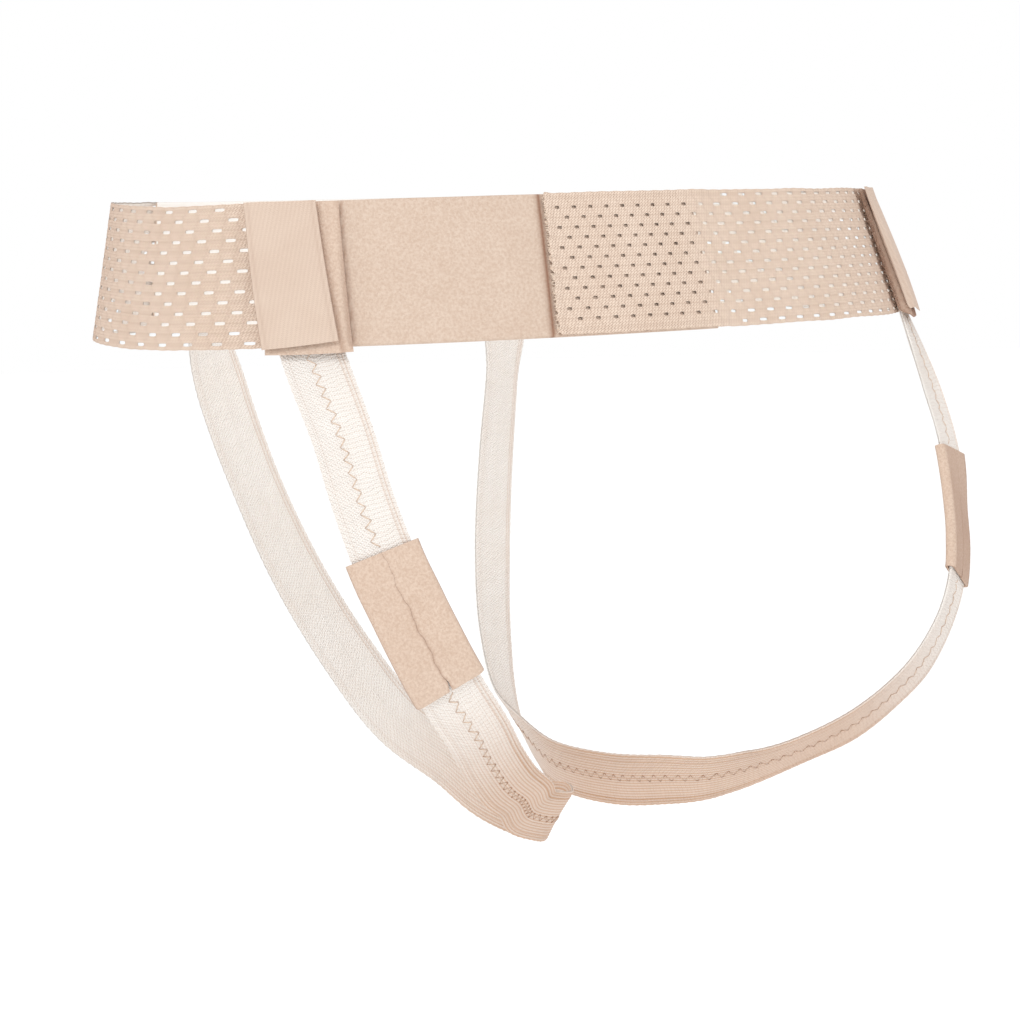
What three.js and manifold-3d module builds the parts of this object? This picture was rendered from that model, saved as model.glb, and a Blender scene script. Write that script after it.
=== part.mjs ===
// Hernia belt as it is worn: a perforated elastic waist band with brushed loop panels, and two elastic
// thigh straps that hang from tabs at the hips, pass between the legs and end on the front of the band.
// Millimetres, +Z up, +X the wearer's left, +Y the wearer's back. The origin is the centre of the waist loop.
import * as THREE from 'three';
import Module from 'manifold-3d';
import { mergeVertices } from 'three/addons/utils/BufferGeometryUtils.js';

// Waist loop, measured on the outside of the single layer at mid height
const WAIST_HALF_WIDTH = 168;
const WAIST_BACK_DEPTH = 106;
const WAIST_FRONT_DEPTH = 103;
const BACK_SQUARENESS = 2.227;
const FRONT_SQUARENESS = 2.38;
const BELT_HEIGHT = 50;

// How the band sits on the hips: how much it leans out for each millimetre down, its slight tilt, and how it
// rises from behind the hip, where the rise starts, to the front
const SIDE_LEAN = 0.209;
const BACK_LEAN = 0.414;
const FRONT_LEAN = 0.026;
const BACK_RISE = 1.3;
const LEFT_DROP = 1.1;
const FRONT_RISE = 4;
const FRONT_RISE_START = 20;
const FRONT_RISE_LENGTH = 90;

// Cloth thicknesses, and the air left between two layers that touch
const MESH_THICKNESS = 1.6;
const PANEL_THICKNESS = 2;
const TAB_THICKNESS = 2.2;
const HOOK_THICKNESS = 1.6;
const STRAP_THICKNESS = 1.6;
const SLEEVE_WALL = 1.1;
const CLEARANCE = 0.3;

// Places along the band, from the middle of the back, positive towards the wearer's left
const BACK_PANEL_RIGHT_END = -4;
const MESH_END_ON_PANEL = 65;
const PANEL_TO_MESH_JOIN = 155;
const FRONT_PANEL_HALF_LENGTH = 112;
const FRONT_LAP = 12;
const STEP_LENGTH = 12;

// How much further to the wearer's left the cloth's lower edge lies than its top, at the middle of the back
const BACK_SLANT = 5.7;

// Tabs that carry the straps at the hips, pressed on the outside of the band. A slant is how much further
// round the band a strip's top lies than its lower edge, a bow is how far a flat strip's sides stand off, a
// taper is the share of its width that a strip loses from top to bottom, and a dip is how far its lower edge
// falls from its middle to its side. The left tab covers the join of panel and mesh, with its middle line an
// inset short of it.
const LEFT_TAB_INSET = 2.4;
const LEFT_TAB_CENTRE = PANEL_TO_MESH_JOIN - LEFT_TAB_INSET;
const RIGHT_TAB_CENTRE = 142;
const TAB_WIDTH = 27;
const TAB_SLANT = 3.8;
const TAB_BOW = 1;
const TAB_TOP_MARGIN = 1;
const TAB_OVERHANG = 3.6;
const TAB_FLARE = 0.8;
const HOOK_WIDTH = 24.8;
const LEFT_HOOK_SLANT = 9;
const RIGHT_HOOK_SLANT = TAB_SLANT;
const HOOK_TAPER = 0.1;
const HOOK_DIP = 1.1;
const LEFT_HOOK_SHIFT = 5;
const RIGHT_HOOK_SHIFT = -2;
const HOOK_OVERHANG = 1.2;

// Thigh straps. A sag is how far a strap's lowest stretch hangs below the common depth of the crotch, and the
// ease is the share by which a strap is wider round the crotch, where it is stretched less.
const STRAP_WIDTH = 22;
const STRAP_EASE = 0.05;
const EASE_START = 85;
const EASE_LENGTH = 55;
const STRAP_BOW = 0.6;
const STRAP_TUCK = 14;
const STRAP_TUCK_SHIFT = 3;
const CROTCH_DROP = 208;
const LEFT_SAG = 1;
const RIGHT_SAG = -5;
const FRONT_END_PLACE = 77;
const FRONT_END_OVERLAP = 22;

// Brushed sleeves that are wrapped round the straps, placed by the strap's length above them
const SLEEVE_LENGTH = 52.5;
const SLEEVE_WIDTH = 26.8;
const SLEEVE_SLIT = 0.8;
const LEFT_SLEEVE_PLACE = 77;
const RIGHT_SLEEVE_PLACE = 60.5;

// Slots through the band
const SLOT_LENGTH = 9;
const SLOT_HEIGHT = 2.6;
const SLOT_PITCH = 27;
const SLOT_ROWS = 5;
const SLOT_ROW_PITCH = 8.6;
const SLOT_END_MARGIN = 12;

// Longest straight piece that stands for a curve
const BAND_STEP = 6;
const STRAP_STEP = 7;

// Route of a thigh strap behind the leg. across and back are shares of the waist's half width and back depth,
// drop is the share of the way down from the band's lower edge to the crotch, and turn and tilt are the
// degrees by which the outer face turns round the leg and leans up.
const BACK_ROUTE = [
  { across: 0.87, back: 0.814, drop: 0.163, turn: 64, tilt: 17 },
  { across: 0.864, back: 0.902, drop: 0.286, turn: 65, tilt: 13 },
  { across: 0.839, back: 0.965, drop: 0.401, turn: 61, tilt: 7 },
  { across: 0.812, back: 1.016, drop: 0.485, turn: 62, tilt: 3 },
  { across: 0.778, back: 1.051, drop: 0.565, turn: 63, tilt: -4 },
  { across: 0.729, back: 1.063, drop: 0.645, turn: 67, tilt: -16 },
  { across: 0.659, back: 1.05, drop: 0.729, turn: 75, tilt: -26 },
  { across: 0.598, back: 0.998, drop: 0.791, turn: 81, tilt: -35 },
  { across: 0.515, back: 0.92, drop: 0.854, turn: 88, tilt: -39 },
  { across: 0.423, back: 0.822, drop: 0.899, turn: 93, tilt: -44 },
  { across: 0.331, back: 0.688, drop: 0.947, turn: 102, tilt: -40 },
  { across: 0.233, back: 0.618, drop: 0.972, turn: 119, tilt: -34 },
  { across: 0.168, back: 0.5, drop: 0.978, turn: 143, tilt: -24 },
  { across: 0.131, back: 0.263, drop: 0.994, turn: 166, tilt: -18 },
];

// Route on between the legs and up the groin. front is a share of the waist's front depth.
const FRONT_ROUTE = [
  { across: 0.112, front: 0.013, drop: 0.976, turn: 188, tilt: -17 },
  { across: 0.126, front: 0.176, drop: 0.927, turn: 213, tilt: -17 },
  { across: 0.169, front: 0.423, drop: 0.85, turn: 229, tilt: -28 },
  { across: 0.229, front: 0.611, drop: 0.71, turn: 244, tilt: -27 },
  { across: 0.302, front: 0.762, drop: 0.53, turn: 252, tilt: -23 },
  { across: 0.371, front: 0.865, drop: 0.33, turn: 256, tilt: -15 },
  { across: 0.43, front: 0.927, drop: 0.13, turn: 256, tilt: -6 },
];

// The share of the way down past which a strap's sag shows, and the stretch over which it comes in
const SAG_START = 0.91;
const SAG_STRETCH = 0.11;

const TOP = BELT_HEIGHT / 2;
const BOTTOM = -BELT_HEIGHT / 2;

const wasm = await Module();
wasm.setup();

// The outside of the band at mid height, looking down: a squarish oval with its own depth to back and front
function midPoint(angle) {
  const atBack = Math.sin(angle) >= 0;
  const depth = atBack ? WAIST_BACK_DEPTH : WAIST_FRONT_DEPTH;
  const squareness = atBack ? BACK_SQUARENESS : FRONT_SQUARENESS;
  const across = Math.abs(Math.cos(angle) / WAIST_HALF_WIDTH) ** squareness;
  const along = Math.abs(Math.sin(angle) / depth) ** squareness;
  const radius = (across + along) ** (-1 / squareness);
  return new THREE.Vector3(radius * Math.cos(angle), radius * Math.sin(angle), 0);
}

// Lengths along the mid line, from the middle of the back round by the wearer's left
const LENGTH_TABLE_STEPS = 1440;
const lengthTable = [0];
for (let i = 1; i <= LENGTH_TABLE_STEPS; i += 1) {
  const before = midPoint(Math.PI / 2 - 2 * Math.PI * (i - 1) / LENGTH_TABLE_STEPS);
  const after = midPoint(Math.PI / 2 - 2 * Math.PI * i / LENGTH_TABLE_STEPS);
  lengthTable.push(lengthTable[i - 1] + before.distanceTo(after));
}
const WAIST_LENGTH = lengthTable[LENGTH_TABLE_STEPS];
const FRONT_CENTRE = WAIST_LENGTH / 2;

function angleAt(along) {
  const length = ((along % WAIST_LENGTH) + WAIST_LENGTH) % WAIST_LENGTH;
  let low = 0;
  let high = LENGTH_TABLE_STEPS;
  while (high - low > 1) {
    const middle = Math.floor((low + high) / 2);
    if (lengthTable[middle] <= length) low = middle;
    else high = middle;
  }
  const share = (length - lengthTable[low]) / (lengthTable[high] - lengthTable[low]);
  return Math.PI / 2 - 2 * Math.PI * (low + share) / LENGTH_TABLE_STEPS;
}

// Directions on the band: round it, up it and straight out of it, and how far it leans out for each
// millimetre down
function bandAxes(along) {
  const middle = midPoint(angleAt(along));
  const round = midPoint(angleAt(along + 1)).sub(midPoint(angleAt(along - 1))).normalize();
  const level = new THREE.Vector3(-round.y, round.x, 0);
  const sideShare = level.x * middle.x / WAIST_HALF_WIDTH;
  const backShare = level.y * middle.y / WAIST_BACK_DEPTH;
  const frontShare = level.y * middle.y / WAIST_FRONT_DEPTH;
  const lengthwise = middle.y >= 0 ? BACK_LEAN * backShare : FRONT_LEAN * frontShare;
  const lean = SIDE_LEAN * sideShare + lengthwise;
  const up = new THREE.Vector3(-lean * level.x, -lean * level.y, 1).normalize();
  const out = new THREE.Vector3(level.x, level.y, lean).normalize();
  return { middle, round, up, out, level, lean };
}

// A point on the band, lifted off the single layer's outer face by an offset
function bandPoint(along, height, offset) {
  const { middle, out, level, lean } = bandAxes(along);
  const point = middle.clone().addScaledVector(level, -lean * height).addScaledVector(out, offset);
  const tilt = BACK_RISE * point.y / WAIST_BACK_DEPTH - LEFT_DROP * point.x / WAIST_HALF_WIDTH;
  const rise = FRONT_RISE * smoothStep((FRONT_RISE_START - point.y) / FRONT_RISE_LENGTH);
  point.z += height + tilt + rise;
  return point;
}

function smoothStep(share) {
  const held = Math.min(1, Math.max(0, share));
  return held * held * (3 - 2 * held);
}

// A closed body through sections that all have the same number of points
function loft(sections) {
  const count = sections[0].length;
  const positions = sections.flat().flatMap((point) => [point.x, point.y, point.z]);
  const index = [];
  for (let s = 0; s + 1 < sections.length; s += 1) {
    for (let i = 0; i < count; i += 1) {
      const a = s * count + i;
      const b = s * count + (i + 1) % count;
      index.push(a, b, a + count, b, b + count, a + count);
    }
  }
  const ends = [[0, true], [sections.length - 1, false]];
  for (const [s, flip] of ends) {
    const origin = sections[s][0];
    const edge = new THREE.Vector3().subVectors(sections[s][1], origin).normalize();
    const normal = sectionNormal(sections[s]);
    const side = new THREE.Vector3().crossVectors(normal, edge);
    const flat = sections[s].map((point) => {
      const step = new THREE.Vector3().subVectors(point, origin);
      return new THREE.Vector2(step.dot(edge), step.dot(side));
    });
    for (const [a, b, c] of THREE.ShapeUtils.triangulateShape(flat, [])) {
      const base = s * count;
      if (flip) index.push(base + a, base + c, base + b);
      else index.push(base + a, base + b, base + c);
    }
  }
  const geometry = new THREE.BufferGeometry();
  geometry.setAttribute('position', new THREE.Float32BufferAttribute(positions, 3));
  geometry.setIndex(index);
  return faceOut(geometry);
}

// Direction square to a flat section, from the areas of its outline
function sectionNormal(points) {
  const sum = new THREE.Vector3();
  for (let i = 1; i + 1 < points.length; i += 1) {
    const a = new THREE.Vector3().subVectors(points[i], points[0]);
    const b = new THREE.Vector3().subVectors(points[i + 1], points[0]);
    sum.add(a.cross(b));
  }
  return sum.normalize();
}

// Turns a body's faces outwards where its sections ran the other way
function faceOut(geometry) {
  const points = geometry.getAttribute('position');
  const index = geometry.getIndex().array;
  const a = new THREE.Vector3();
  const b = new THREE.Vector3();
  const c = new THREE.Vector3();
  let volume = 0;
  for (let i = 0; i < index.length; i += 3) {
    a.fromBufferAttribute(points, index[i]);
    b.fromBufferAttribute(points, index[i + 1]);
    c.fromBufferAttribute(points, index[i + 2]);
    volume += a.dot(b.cross(c));
  }
  if (volume < 0) geometry.setIndex(Array.from(index).reverse());
  return geometry;
}

function toSolid(geometry) {
  const bare = geometry.clone();
  bare.deleteAttribute('normal');
  bare.deleteAttribute('uv');
  const merged = mergeVertices(bare);
  const vertProperties = new Float32Array(merged.getAttribute('position').array);
  const triVerts = new Uint32Array(merged.getIndex().array);
  return new wasm.Manifold(new wasm.Mesh({ numProp: 3, vertProperties, triVerts }));
}

function fromSolid(solid) {
  const mesh = solid.getMesh();
  const geometry = new THREE.BufferGeometry();
  geometry.setAttribute('position', new THREE.Float32BufferAttribute(mesh.vertProperties, 3));
  geometry.setIndex(Array.from(mesh.triVerts));
  return geometry;
}

// Evenly spaced places from one end to the other, no further apart than a step
function places(from, to, step) {
  const count = Math.max(1, Math.ceil(Math.abs(to - from) / step));
  return Array.from({ length: count + 1 }, (_, i) => from + (to - from) * i / count);
}

// A length of cloth round the waist. offsetAt gives how far its outer face lies off the single layer's.
function bandGeometry(from, to, thickness, offsetAt) {
  const sections = places(from, to, BAND_STEP).map((along) => {
    const halfSlant = BACK_SLANT * Math.max(0, bandAxes(along).level.y) / 2;
    const outer = offsetAt(along);
    const inner = outer - thickness;
    return [
      bandPoint(along + halfSlant, BOTTOM, outer),
      bandPoint(along - halfSlant, TOP, outer),
      bandPoint(along - halfSlant, TOP, inner),
      bandPoint(along + halfSlant, BOTTOM, inner),
    ];
  });
  return loft(sections);
}

// One long slot's cutter, with pointed ends, square through the cloth
function slotGeometry(along, height, offset) {
  const { round, up, out } = bandAxes(along);
  const centre = bandPoint(along, height, offset);
  const halfLength = SLOT_LENGTH / 2;
  const halfHeight = SLOT_HEIGHT / 2;
  const outline = [
    [halfLength, 0],
    [halfLength - halfHeight, halfHeight],
    [halfHeight - halfLength, halfHeight],
    [-halfLength, 0],
    [halfHeight - halfLength, -halfHeight],
    [halfLength - halfHeight, -halfHeight],
  ];
  const reach = MESH_THICKNESS * 1.5;
  const ends = [-reach, reach].map((depth) => outline.map(([x, y]) => centre.clone()
    .addScaledVector(round, x)
    .addScaledVector(up, y)
    .addScaledVector(out, depth)));
  return loft(ends);
}

// The band's cloth with its staggered rows of slots
function pierced(geometry, from, to, offsetAt) {
  const first = from + SLOT_END_MARGIN;
  const last = to - SLOT_END_MARGIN;
  let solid = toSolid(geometry);
  for (let row = 0; row < SLOT_ROWS; row += 1) {
    const height = (row - (SLOT_ROWS - 1) / 2) * SLOT_ROW_PITCH;
    const stagger = row % 2 ? SLOT_PITCH / 2 : 0;
    for (let along = first + stagger; along <= last; along += SLOT_PITCH) {
      const cutter = slotGeometry(along, height, offsetAt(along) - MESH_THICKNESS / 2);
      solid = solid.subtract(toSolid(cutter));
    }
  }
  return fromSolid(solid);
}

// The left band lies in the single layer and laps over the front panel at its front end
const LAP_OFFSET = CLEARANCE + MESH_THICKNESS;
const LEFT_BAND_START = PANEL_TO_MESH_JOIN + CLEARANCE;
const LEFT_BAND_END = FRONT_CENTRE - FRONT_PANEL_HALF_LENGTH + FRONT_LAP;

function leftBandOffset(along) {
  const stepStart = FRONT_CENTRE - FRONT_PANEL_HALF_LENGTH - STEP_LENGTH - CLEARANCE;
  return LAP_OFFSET * smoothStep((along - stepStart) / STEP_LENGTH);
}

// The right band does the same, and its other end lies on the back panel, where it closes the belt
function rightBandOffset(along) {
  const frontStep = leftBandOffset(-along);
  const backStart = BACK_PANEL_RIGHT_END - STEP_LENGTH - CLEARANCE;
  return Math.max(frontStep, LAP_OFFSET * smoothStep((along - backStart) / STEP_LENGTH));
}

function singleLayer() {
  return 0;
}

function leftMeshGeometry() {
  const cloth = bandGeometry(LEFT_BAND_START, LEFT_BAND_END, MESH_THICKNESS, leftBandOffset);
  return pierced(cloth, LEFT_BAND_START, LEFT_BAND_END, leftBandOffset);
}

function rightMeshGeometry() {
  const cloth = bandGeometry(-LEFT_BAND_END, MESH_END_ON_PANEL, MESH_THICKNESS, rightBandOffset);
  return pierced(cloth, -LEFT_BAND_END, MESH_END_ON_PANEL, rightBandOffset);
}

function backPanelGeometry() {
  return bandGeometry(BACK_PANEL_RIGHT_END, PANEL_TO_MESH_JOIN, PANEL_THICKNESS, singleLayer);
}

function frontPanelGeometry() {
  const from = FRONT_CENTRE - FRONT_PANEL_HALF_LENGTH;
  const to = FRONT_CENTRE + FRONT_PANEL_HALF_LENGTH;
  return bandGeometry(from, to, PANEL_THICKNESS, singleLayer);
}

// Offset of a tab's inner face: close to the band above, and past the strap below
const STRAP_POCKET = STRAP_THICKNESS + STRAP_BOW + 2 * CLEARANCE;
const POCKET_TOP = BOTTOM + STRAP_TUCK + CLEARANCE;
const POCKET_SLOPE = 30;
const TAB_TOP = TOP - TAB_TOP_MARGIN;
const TAB_BOTTOM = BOTTOM - TAB_OVERHANG;

function tabOffset(height) {
  const share = (POCKET_TOP + POCKET_SLOPE - height) / POCKET_SLOPE;
  const flare = TAB_FLARE * Math.max(0, (POCKET_TOP - height) / (POCKET_TOP - TAB_BOTTOM));
  return CLEARANCE + (STRAP_POCKET - CLEARANCE) * Math.min(1, Math.max(0, share)) + flare;
}

// How far a tab's sides stand off the band, by the distance from its middle line
function tabBow(fromMiddle) {
  return TAB_BOW * Math.min(1, (2 * fromMiddle / TAB_WIDTH) ** 2);
}

// A slanting strip on the band, shifted along it from a tab's middle line, that follows the tab at an offset
function stripGeometry(side, tabCentre, strip) {
  return loft(places(-strip.width / 2, strip.width / 2, BAND_STEP).map((across) => {
    const heights = [...strip.heights, strip.bottom - strip.dip * 2 * across / strip.width];
    const inner = heights.map((height) => [height, tabOffset(height) + strip.offset]);
    const outer = inner.map(([height, lift]) => [height, lift + strip.thickness]);
    return [...inner, ...outer.reverse()].map(([height, lift]) => {
      const level = height / BELT_HEIGHT;
      const along = tabCentre + strip.shift + across * (1 + strip.taper * level) + strip.slant * level;
      const fromMiddle = along - tabCentre - TAB_SLANT * level;
      return bandPoint(side * along, height, lift + tabBow(fromMiddle));
    });
  }));
}

function tabGeometry(side, tabCentre) {
  return stripGeometry(side, tabCentre, {
    heights: [TAB_TOP, POCKET_TOP + POCKET_SLOPE, POCKET_TOP],
    bottom: TAB_BOTTOM,
    dip: 0,
    width: TAB_WIDTH,
    taper: 0,
    slant: TAB_SLANT,
    shift: 0,
    offset: 0,
    thickness: TAB_THICKNESS,
  });
}

// The smooth hook tab that is pressed on the brushed one
function hookGeometry(side, tabCentre, shift, slant) {
  return stripGeometry(side, tabCentre, {
    heights: [TAB_TOP, POCKET_TOP + POCKET_SLOPE, POCKET_TOP],
    bottom: BOTTOM - HOOK_OVERHANG,
    dip: HOOK_DIP,
    width: HOOK_WIDTH,
    taper: HOOK_TAPER,
    slant,
    shift,
    offset: TAB_THICKNESS + CLEARANCE,
    thickness: HOOK_THICKNESS,
  });
}

function facingVector(side, turn, tilt) {
  const turned = THREE.MathUtils.degToRad(turn);
  const tilted = THREE.MathUtils.degToRad(tilt);
  const flat = Math.cos(tilted);
  return new THREE.Vector3(side * flat * Math.cos(turned), flat * Math.sin(turned), Math.sin(tilted));
}

function routeDepth(share, sag) {
  return BOTTOM - (CROTCH_DROP + BOTTOM) * share - sag * smoothStep((share - SAG_START) / SAG_STRETCH);
}

// The middle line of a thigh strap and the way its outer face looks, from the tab to the front of the band
function strapRoute(side, tabCentre, sag) {
  const offset = CLEARANCE + STRAP_THICKNESS / 2;
  const frontPlace = side * (FRONT_CENTRE - FRONT_END_PLACE);
  const tabPlace = side * (tabCentre - TAB_SLANT / 2);
  const tuckPlace = tabPlace + side * STRAP_TUCK_SHIFT;
  const points = [bandPoint(tuckPlace, BOTTOM + STRAP_TUCK, offset), bandPoint(tabPlace, BOTTOM, offset)];
  const facings = [bandAxes(tuckPlace).out, bandAxes(tabPlace).out];
  for (const row of BACK_ROUTE) {
    const x = side * WAIST_HALF_WIDTH * row.across;
    points.push(new THREE.Vector3(x, WAIST_BACK_DEPTH * row.back, routeDepth(row.drop, sag)));
    facings.push(facingVector(side, row.turn, row.tilt));
  }
  for (const row of FRONT_ROUTE) {
    const x = side * WAIST_HALF_WIDTH * row.across;
    points.push(new THREE.Vector3(x, -WAIST_FRONT_DEPTH * row.front, routeDepth(row.drop, sag)));
    facings.push(facingVector(side, row.turn, row.tilt));
  }
  points.push(bandPoint(frontPlace, BOTTOM, offset));
  points.push(bandPoint(frontPlace, BOTTOM + FRONT_END_OVERLAP, offset));
  facings.push(bandAxes(frontPlace).out, bandAxes(frontPlace).out);
  const middle = new THREE.CatmullRomCurve3(points, false, 'centripetal');
  middle.arcLengthDivisions = 1200;
  const facing = new THREE.CatmullRomCurve3(facings, false, 'centripetal');
  return { middle, facing, length: middle.getLength() };
}

// Place, direction across and direction out of the strap, at a length along it
function strapFrame(route, length) {
  const share = Math.min(1, Math.max(0, length / route.length));
  const t = route.middle.getUtoTmapping(share);
  const centre = route.middle.getPoint(t);
  const along = route.middle.getTangent(t);
  const out = route.facing.getPoint(t);
  out.addScaledVector(along, -out.dot(along)).normalize();
  const across = new THREE.Vector3().crossVectors(along, out);
  return { centre, across, out };
}

function strapSections(route, from, to, outline, widthAt) {
  return places(from, to, STRAP_STEP).map((length) => {
    const { centre, across, out } = strapFrame(route, length);
    const width = widthAt(length);
    return outline.map(([x, y]) => centre.clone().addScaledVector(across, x * width).addScaledVector(out, y));
  });
}

// The strap's width at a length along it, as a multiple of its stretched width
function strapEase(route, length) {
  const fromTab = smoothStep((length - EASE_START) / EASE_LENGTH);
  const fromFront = smoothStep((route.length - EASE_START - length) / EASE_LENGTH);
  return 1 + STRAP_EASE * Math.min(fromTab, fromFront);
}

function strapGeometry(route) {
  const halfWidth = STRAP_WIDTH / 2;
  const halfThickness = STRAP_THICKNESS / 2;
  const outline = [
    [halfWidth, 0],
    [halfWidth - halfThickness, halfThickness],
    [halfThickness - halfWidth, halfThickness],
    [-halfWidth, 0],
    [halfThickness - halfWidth, -halfThickness],
    [halfWidth - halfThickness, -halfThickness],
  ];
  return loft(strapSections(route, 0, route.length, outline, (length) => strapEase(route, length)));
}

// A sleeve is a strip folded round the strap, whose edges nearly meet along its outer face
function sleeveGeometry(route, place) {
  const inner = STRAP_THICKNESS / 2 + CLEARANCE;
  const outer = inner + SLEEVE_WALL;
  const halfWidth = SLEEVE_WIDTH / 2;
  const halfSlit = SLEEVE_SLIT / 2;
  const round = [
    [halfSlit, outer],
    [halfWidth - outer, outer],
    [halfWidth, 0],
    [halfWidth - outer, -outer],
    [outer - halfWidth, -outer],
    [-halfWidth, 0],
    [outer - halfWidth, outer],
    [-halfSlit, outer],
  ];
  const inside = [
    [halfSlit, inner],
    [halfWidth - outer, inner],
    [halfWidth - SLEEVE_WALL, 0],
    [halfWidth - outer, -inner],
    [outer - halfWidth, -inner],
    [SLEEVE_WALL - halfWidth, 0],
    [outer - halfWidth, inner],
    [-halfSlit, inner],
  ];
  const outline = [...round, ...inside.reverse()];
  const from = STRAP_TUCK + place;
  return loft(strapSections(route, from, from + SLEEVE_LENGTH, outline, () => 1));
}

const materials = {
  mesh: new THREE.MeshStandardMaterial({ color: 0xdebea3, roughness: 0.9, metalness: 0 }),
  velour: new THREE.MeshStandardMaterial({ color: 0xe8d0bc, roughness: 1, metalness: 0 }),
  tab: new THREE.MeshStandardMaterial({ color: 0xe4c9b2, roughness: 1, metalness: 0 }),
  hook: new THREE.MeshStandardMaterial({ color: 0xe7cdba, roughness: 0.8, metalness: 0 }),
  strap: new THREE.MeshStandardMaterial({ color: 0xf3e8dc, roughness: 0.85, metalness: 0 }),
};

const belt = new THREE.Group();

function add(name, geometry, material) {
  const mesh = new THREE.Mesh(geometry, material);
  mesh.name = name;
  belt.add(mesh);
}

add('back_panel', backPanelGeometry(), materials.velour);
add('front_panel', frontPanelGeometry(), materials.velour);
add('left_mesh_band', leftMeshGeometry(), materials.mesh);
add('right_mesh_band', rightMeshGeometry(), materials.mesh);

const sides = [
  {
    name: 'left',
    side: 1,
    tab: LEFT_TAB_CENTRE,
    hookShift: LEFT_HOOK_SHIFT,
    hookSlant: LEFT_HOOK_SLANT,
    sag: LEFT_SAG,
    sleeve: LEFT_SLEEVE_PLACE,
  },
  {
    name: 'right',
    side: -1,
    tab: RIGHT_TAB_CENTRE,
    hookShift: RIGHT_HOOK_SHIFT,
    hookSlant: RIGHT_HOOK_SLANT,
    sag: RIGHT_SAG,
    sleeve: RIGHT_SLEEVE_PLACE,
  },
];
for (const { name, side, tab, hookShift, hookSlant, sag, sleeve } of sides) {
  const route = strapRoute(side, tab, sag);
  add(`${name}_strap_tab`, tabGeometry(side, tab), materials.tab);
  add(`${name}_hook_tab`, hookGeometry(side, tab, hookShift, hookSlant), materials.hook);
  add(`${name}_thigh_strap`, strapGeometry(route), materials.strap);
  add(`${name}_strap_sleeve`, sleeveGeometry(route, sleeve), materials.tab);
}

export default belt;
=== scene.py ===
# %% [markdown]
# # A hernia belt in its worn shape
# The belt is cloth from end to end: a perforated elastic band, brushed loop panels, hook tabs and two
# knitted thigh straps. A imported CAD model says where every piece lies. This lesson builds each piece again as
# real cloth, with its holes, ribs, rolled edges and stitches as geometry, and paints it with shader nodes.

# %% Load the frame
import math

import bpy
import numpy as np
from mathutils import Matrix, Vector


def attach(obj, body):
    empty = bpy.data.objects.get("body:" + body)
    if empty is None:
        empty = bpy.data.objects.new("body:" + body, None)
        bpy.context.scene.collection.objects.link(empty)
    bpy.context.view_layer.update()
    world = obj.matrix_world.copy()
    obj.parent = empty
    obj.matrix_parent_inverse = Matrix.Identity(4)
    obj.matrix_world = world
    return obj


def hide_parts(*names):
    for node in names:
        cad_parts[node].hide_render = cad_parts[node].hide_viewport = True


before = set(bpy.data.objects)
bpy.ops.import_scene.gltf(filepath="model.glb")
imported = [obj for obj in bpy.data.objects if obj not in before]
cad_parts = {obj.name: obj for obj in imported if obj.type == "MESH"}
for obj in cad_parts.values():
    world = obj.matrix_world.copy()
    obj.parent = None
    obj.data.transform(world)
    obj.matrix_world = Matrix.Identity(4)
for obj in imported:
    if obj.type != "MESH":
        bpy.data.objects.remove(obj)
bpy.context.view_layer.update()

# %% [markdown]
# The waist loop is a squarish oval that leans outwards as it goes down. A drawn curve or a bent grid could
# follow it, but a formula gives every piece the same surface to lie on, so the pieces cannot cut each other.
# All its lengths are millimetres, and they become metres only when a mesh is made.

# %% Surface of the waist band
WAIST_HALF_WIDTH = 168.0
WAIST_BACK_DEPTH = 106.0
WAIST_FRONT_DEPTH = 103.0
BACK_SQUARENESS = 2.227
FRONT_SQUARENESS = 2.38
BELT_HEIGHT = 50.0
SIDE_LEAN, BACK_LEAN, FRONT_LEAN = 0.209, 0.414, 0.026
BACK_RISE, LEFT_DROP = 1.3, 1.1
FRONT_RISE, FRONT_RISE_START, FRONT_RISE_LENGTH = 4.0, 20.0, 90.0
BACK_SLANT = 5.7
TOP, BOTTOM = BELT_HEIGHT / 2, -BELT_HEIGHT / 2


def unit(vectors):
    """Vectors of length 1."""
    return vectors / np.linalg.norm(vectors, axis=-1, keepdims=True)


def smooth_step(share):
    """A soft rise from 0 to 1 while the share goes from 0 to 1."""
    held = np.clip(share, 0, 1)
    return held * held * (3 - 2 * held)


def oval(angle):
    """The waist loop at mid height, as a superellipse that is deeper at the back than at the front."""
    at_back = np.sin(angle) >= 0
    depth = np.where(at_back, WAIST_BACK_DEPTH, WAIST_FRONT_DEPTH)
    squareness = np.where(at_back, BACK_SQUARENESS, FRONT_SQUARENESS)
    across = np.abs(np.cos(angle) / WAIST_HALF_WIDTH) ** squareness
    along = np.abs(np.sin(angle) / depth) ** squareness
    radius = (across + along) ** (-1 / squareness)
    return np.stack([radius * np.cos(angle), radius * np.sin(angle), 0 * angle], -1)


ANGLES = np.pi / 2 - np.linspace(0, 2 * np.pi, 2881)
ARCS = np.concatenate([[0], np.cumsum(np.linalg.norm(np.diff(oval(ANGLES), axis=0), axis=1))])
WAIST_LENGTH = ARCS[-1]
FRONT_CENTRE = WAIST_LENGTH / 2


def middle_at(along):
    return oval(np.interp(np.mod(along, WAIST_LENGTH), ARCS, ANGLES))


def band_axes(along):
    """Middle point, level way out, and lean of the band at places along it."""
    middle = middle_at(along)
    round_it = unit(middle_at(along + 1) - middle_at(along - 1))
    level = np.stack([-round_it[..., 1], round_it[..., 0], 0 * along], -1)
    depth = np.where(middle[..., 1] >= 0, WAIST_BACK_DEPTH, WAIST_FRONT_DEPTH)
    back_or_front = np.where(middle[..., 1] >= 0, BACK_LEAN, FRONT_LEAN)
    lean = SIDE_LEAN * level[..., 0] * middle[..., 0] / WAIST_HALF_WIDTH
    lean = lean + back_or_front * level[..., 1] * middle[..., 1] / depth
    return middle, round_it, level, lean


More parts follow.
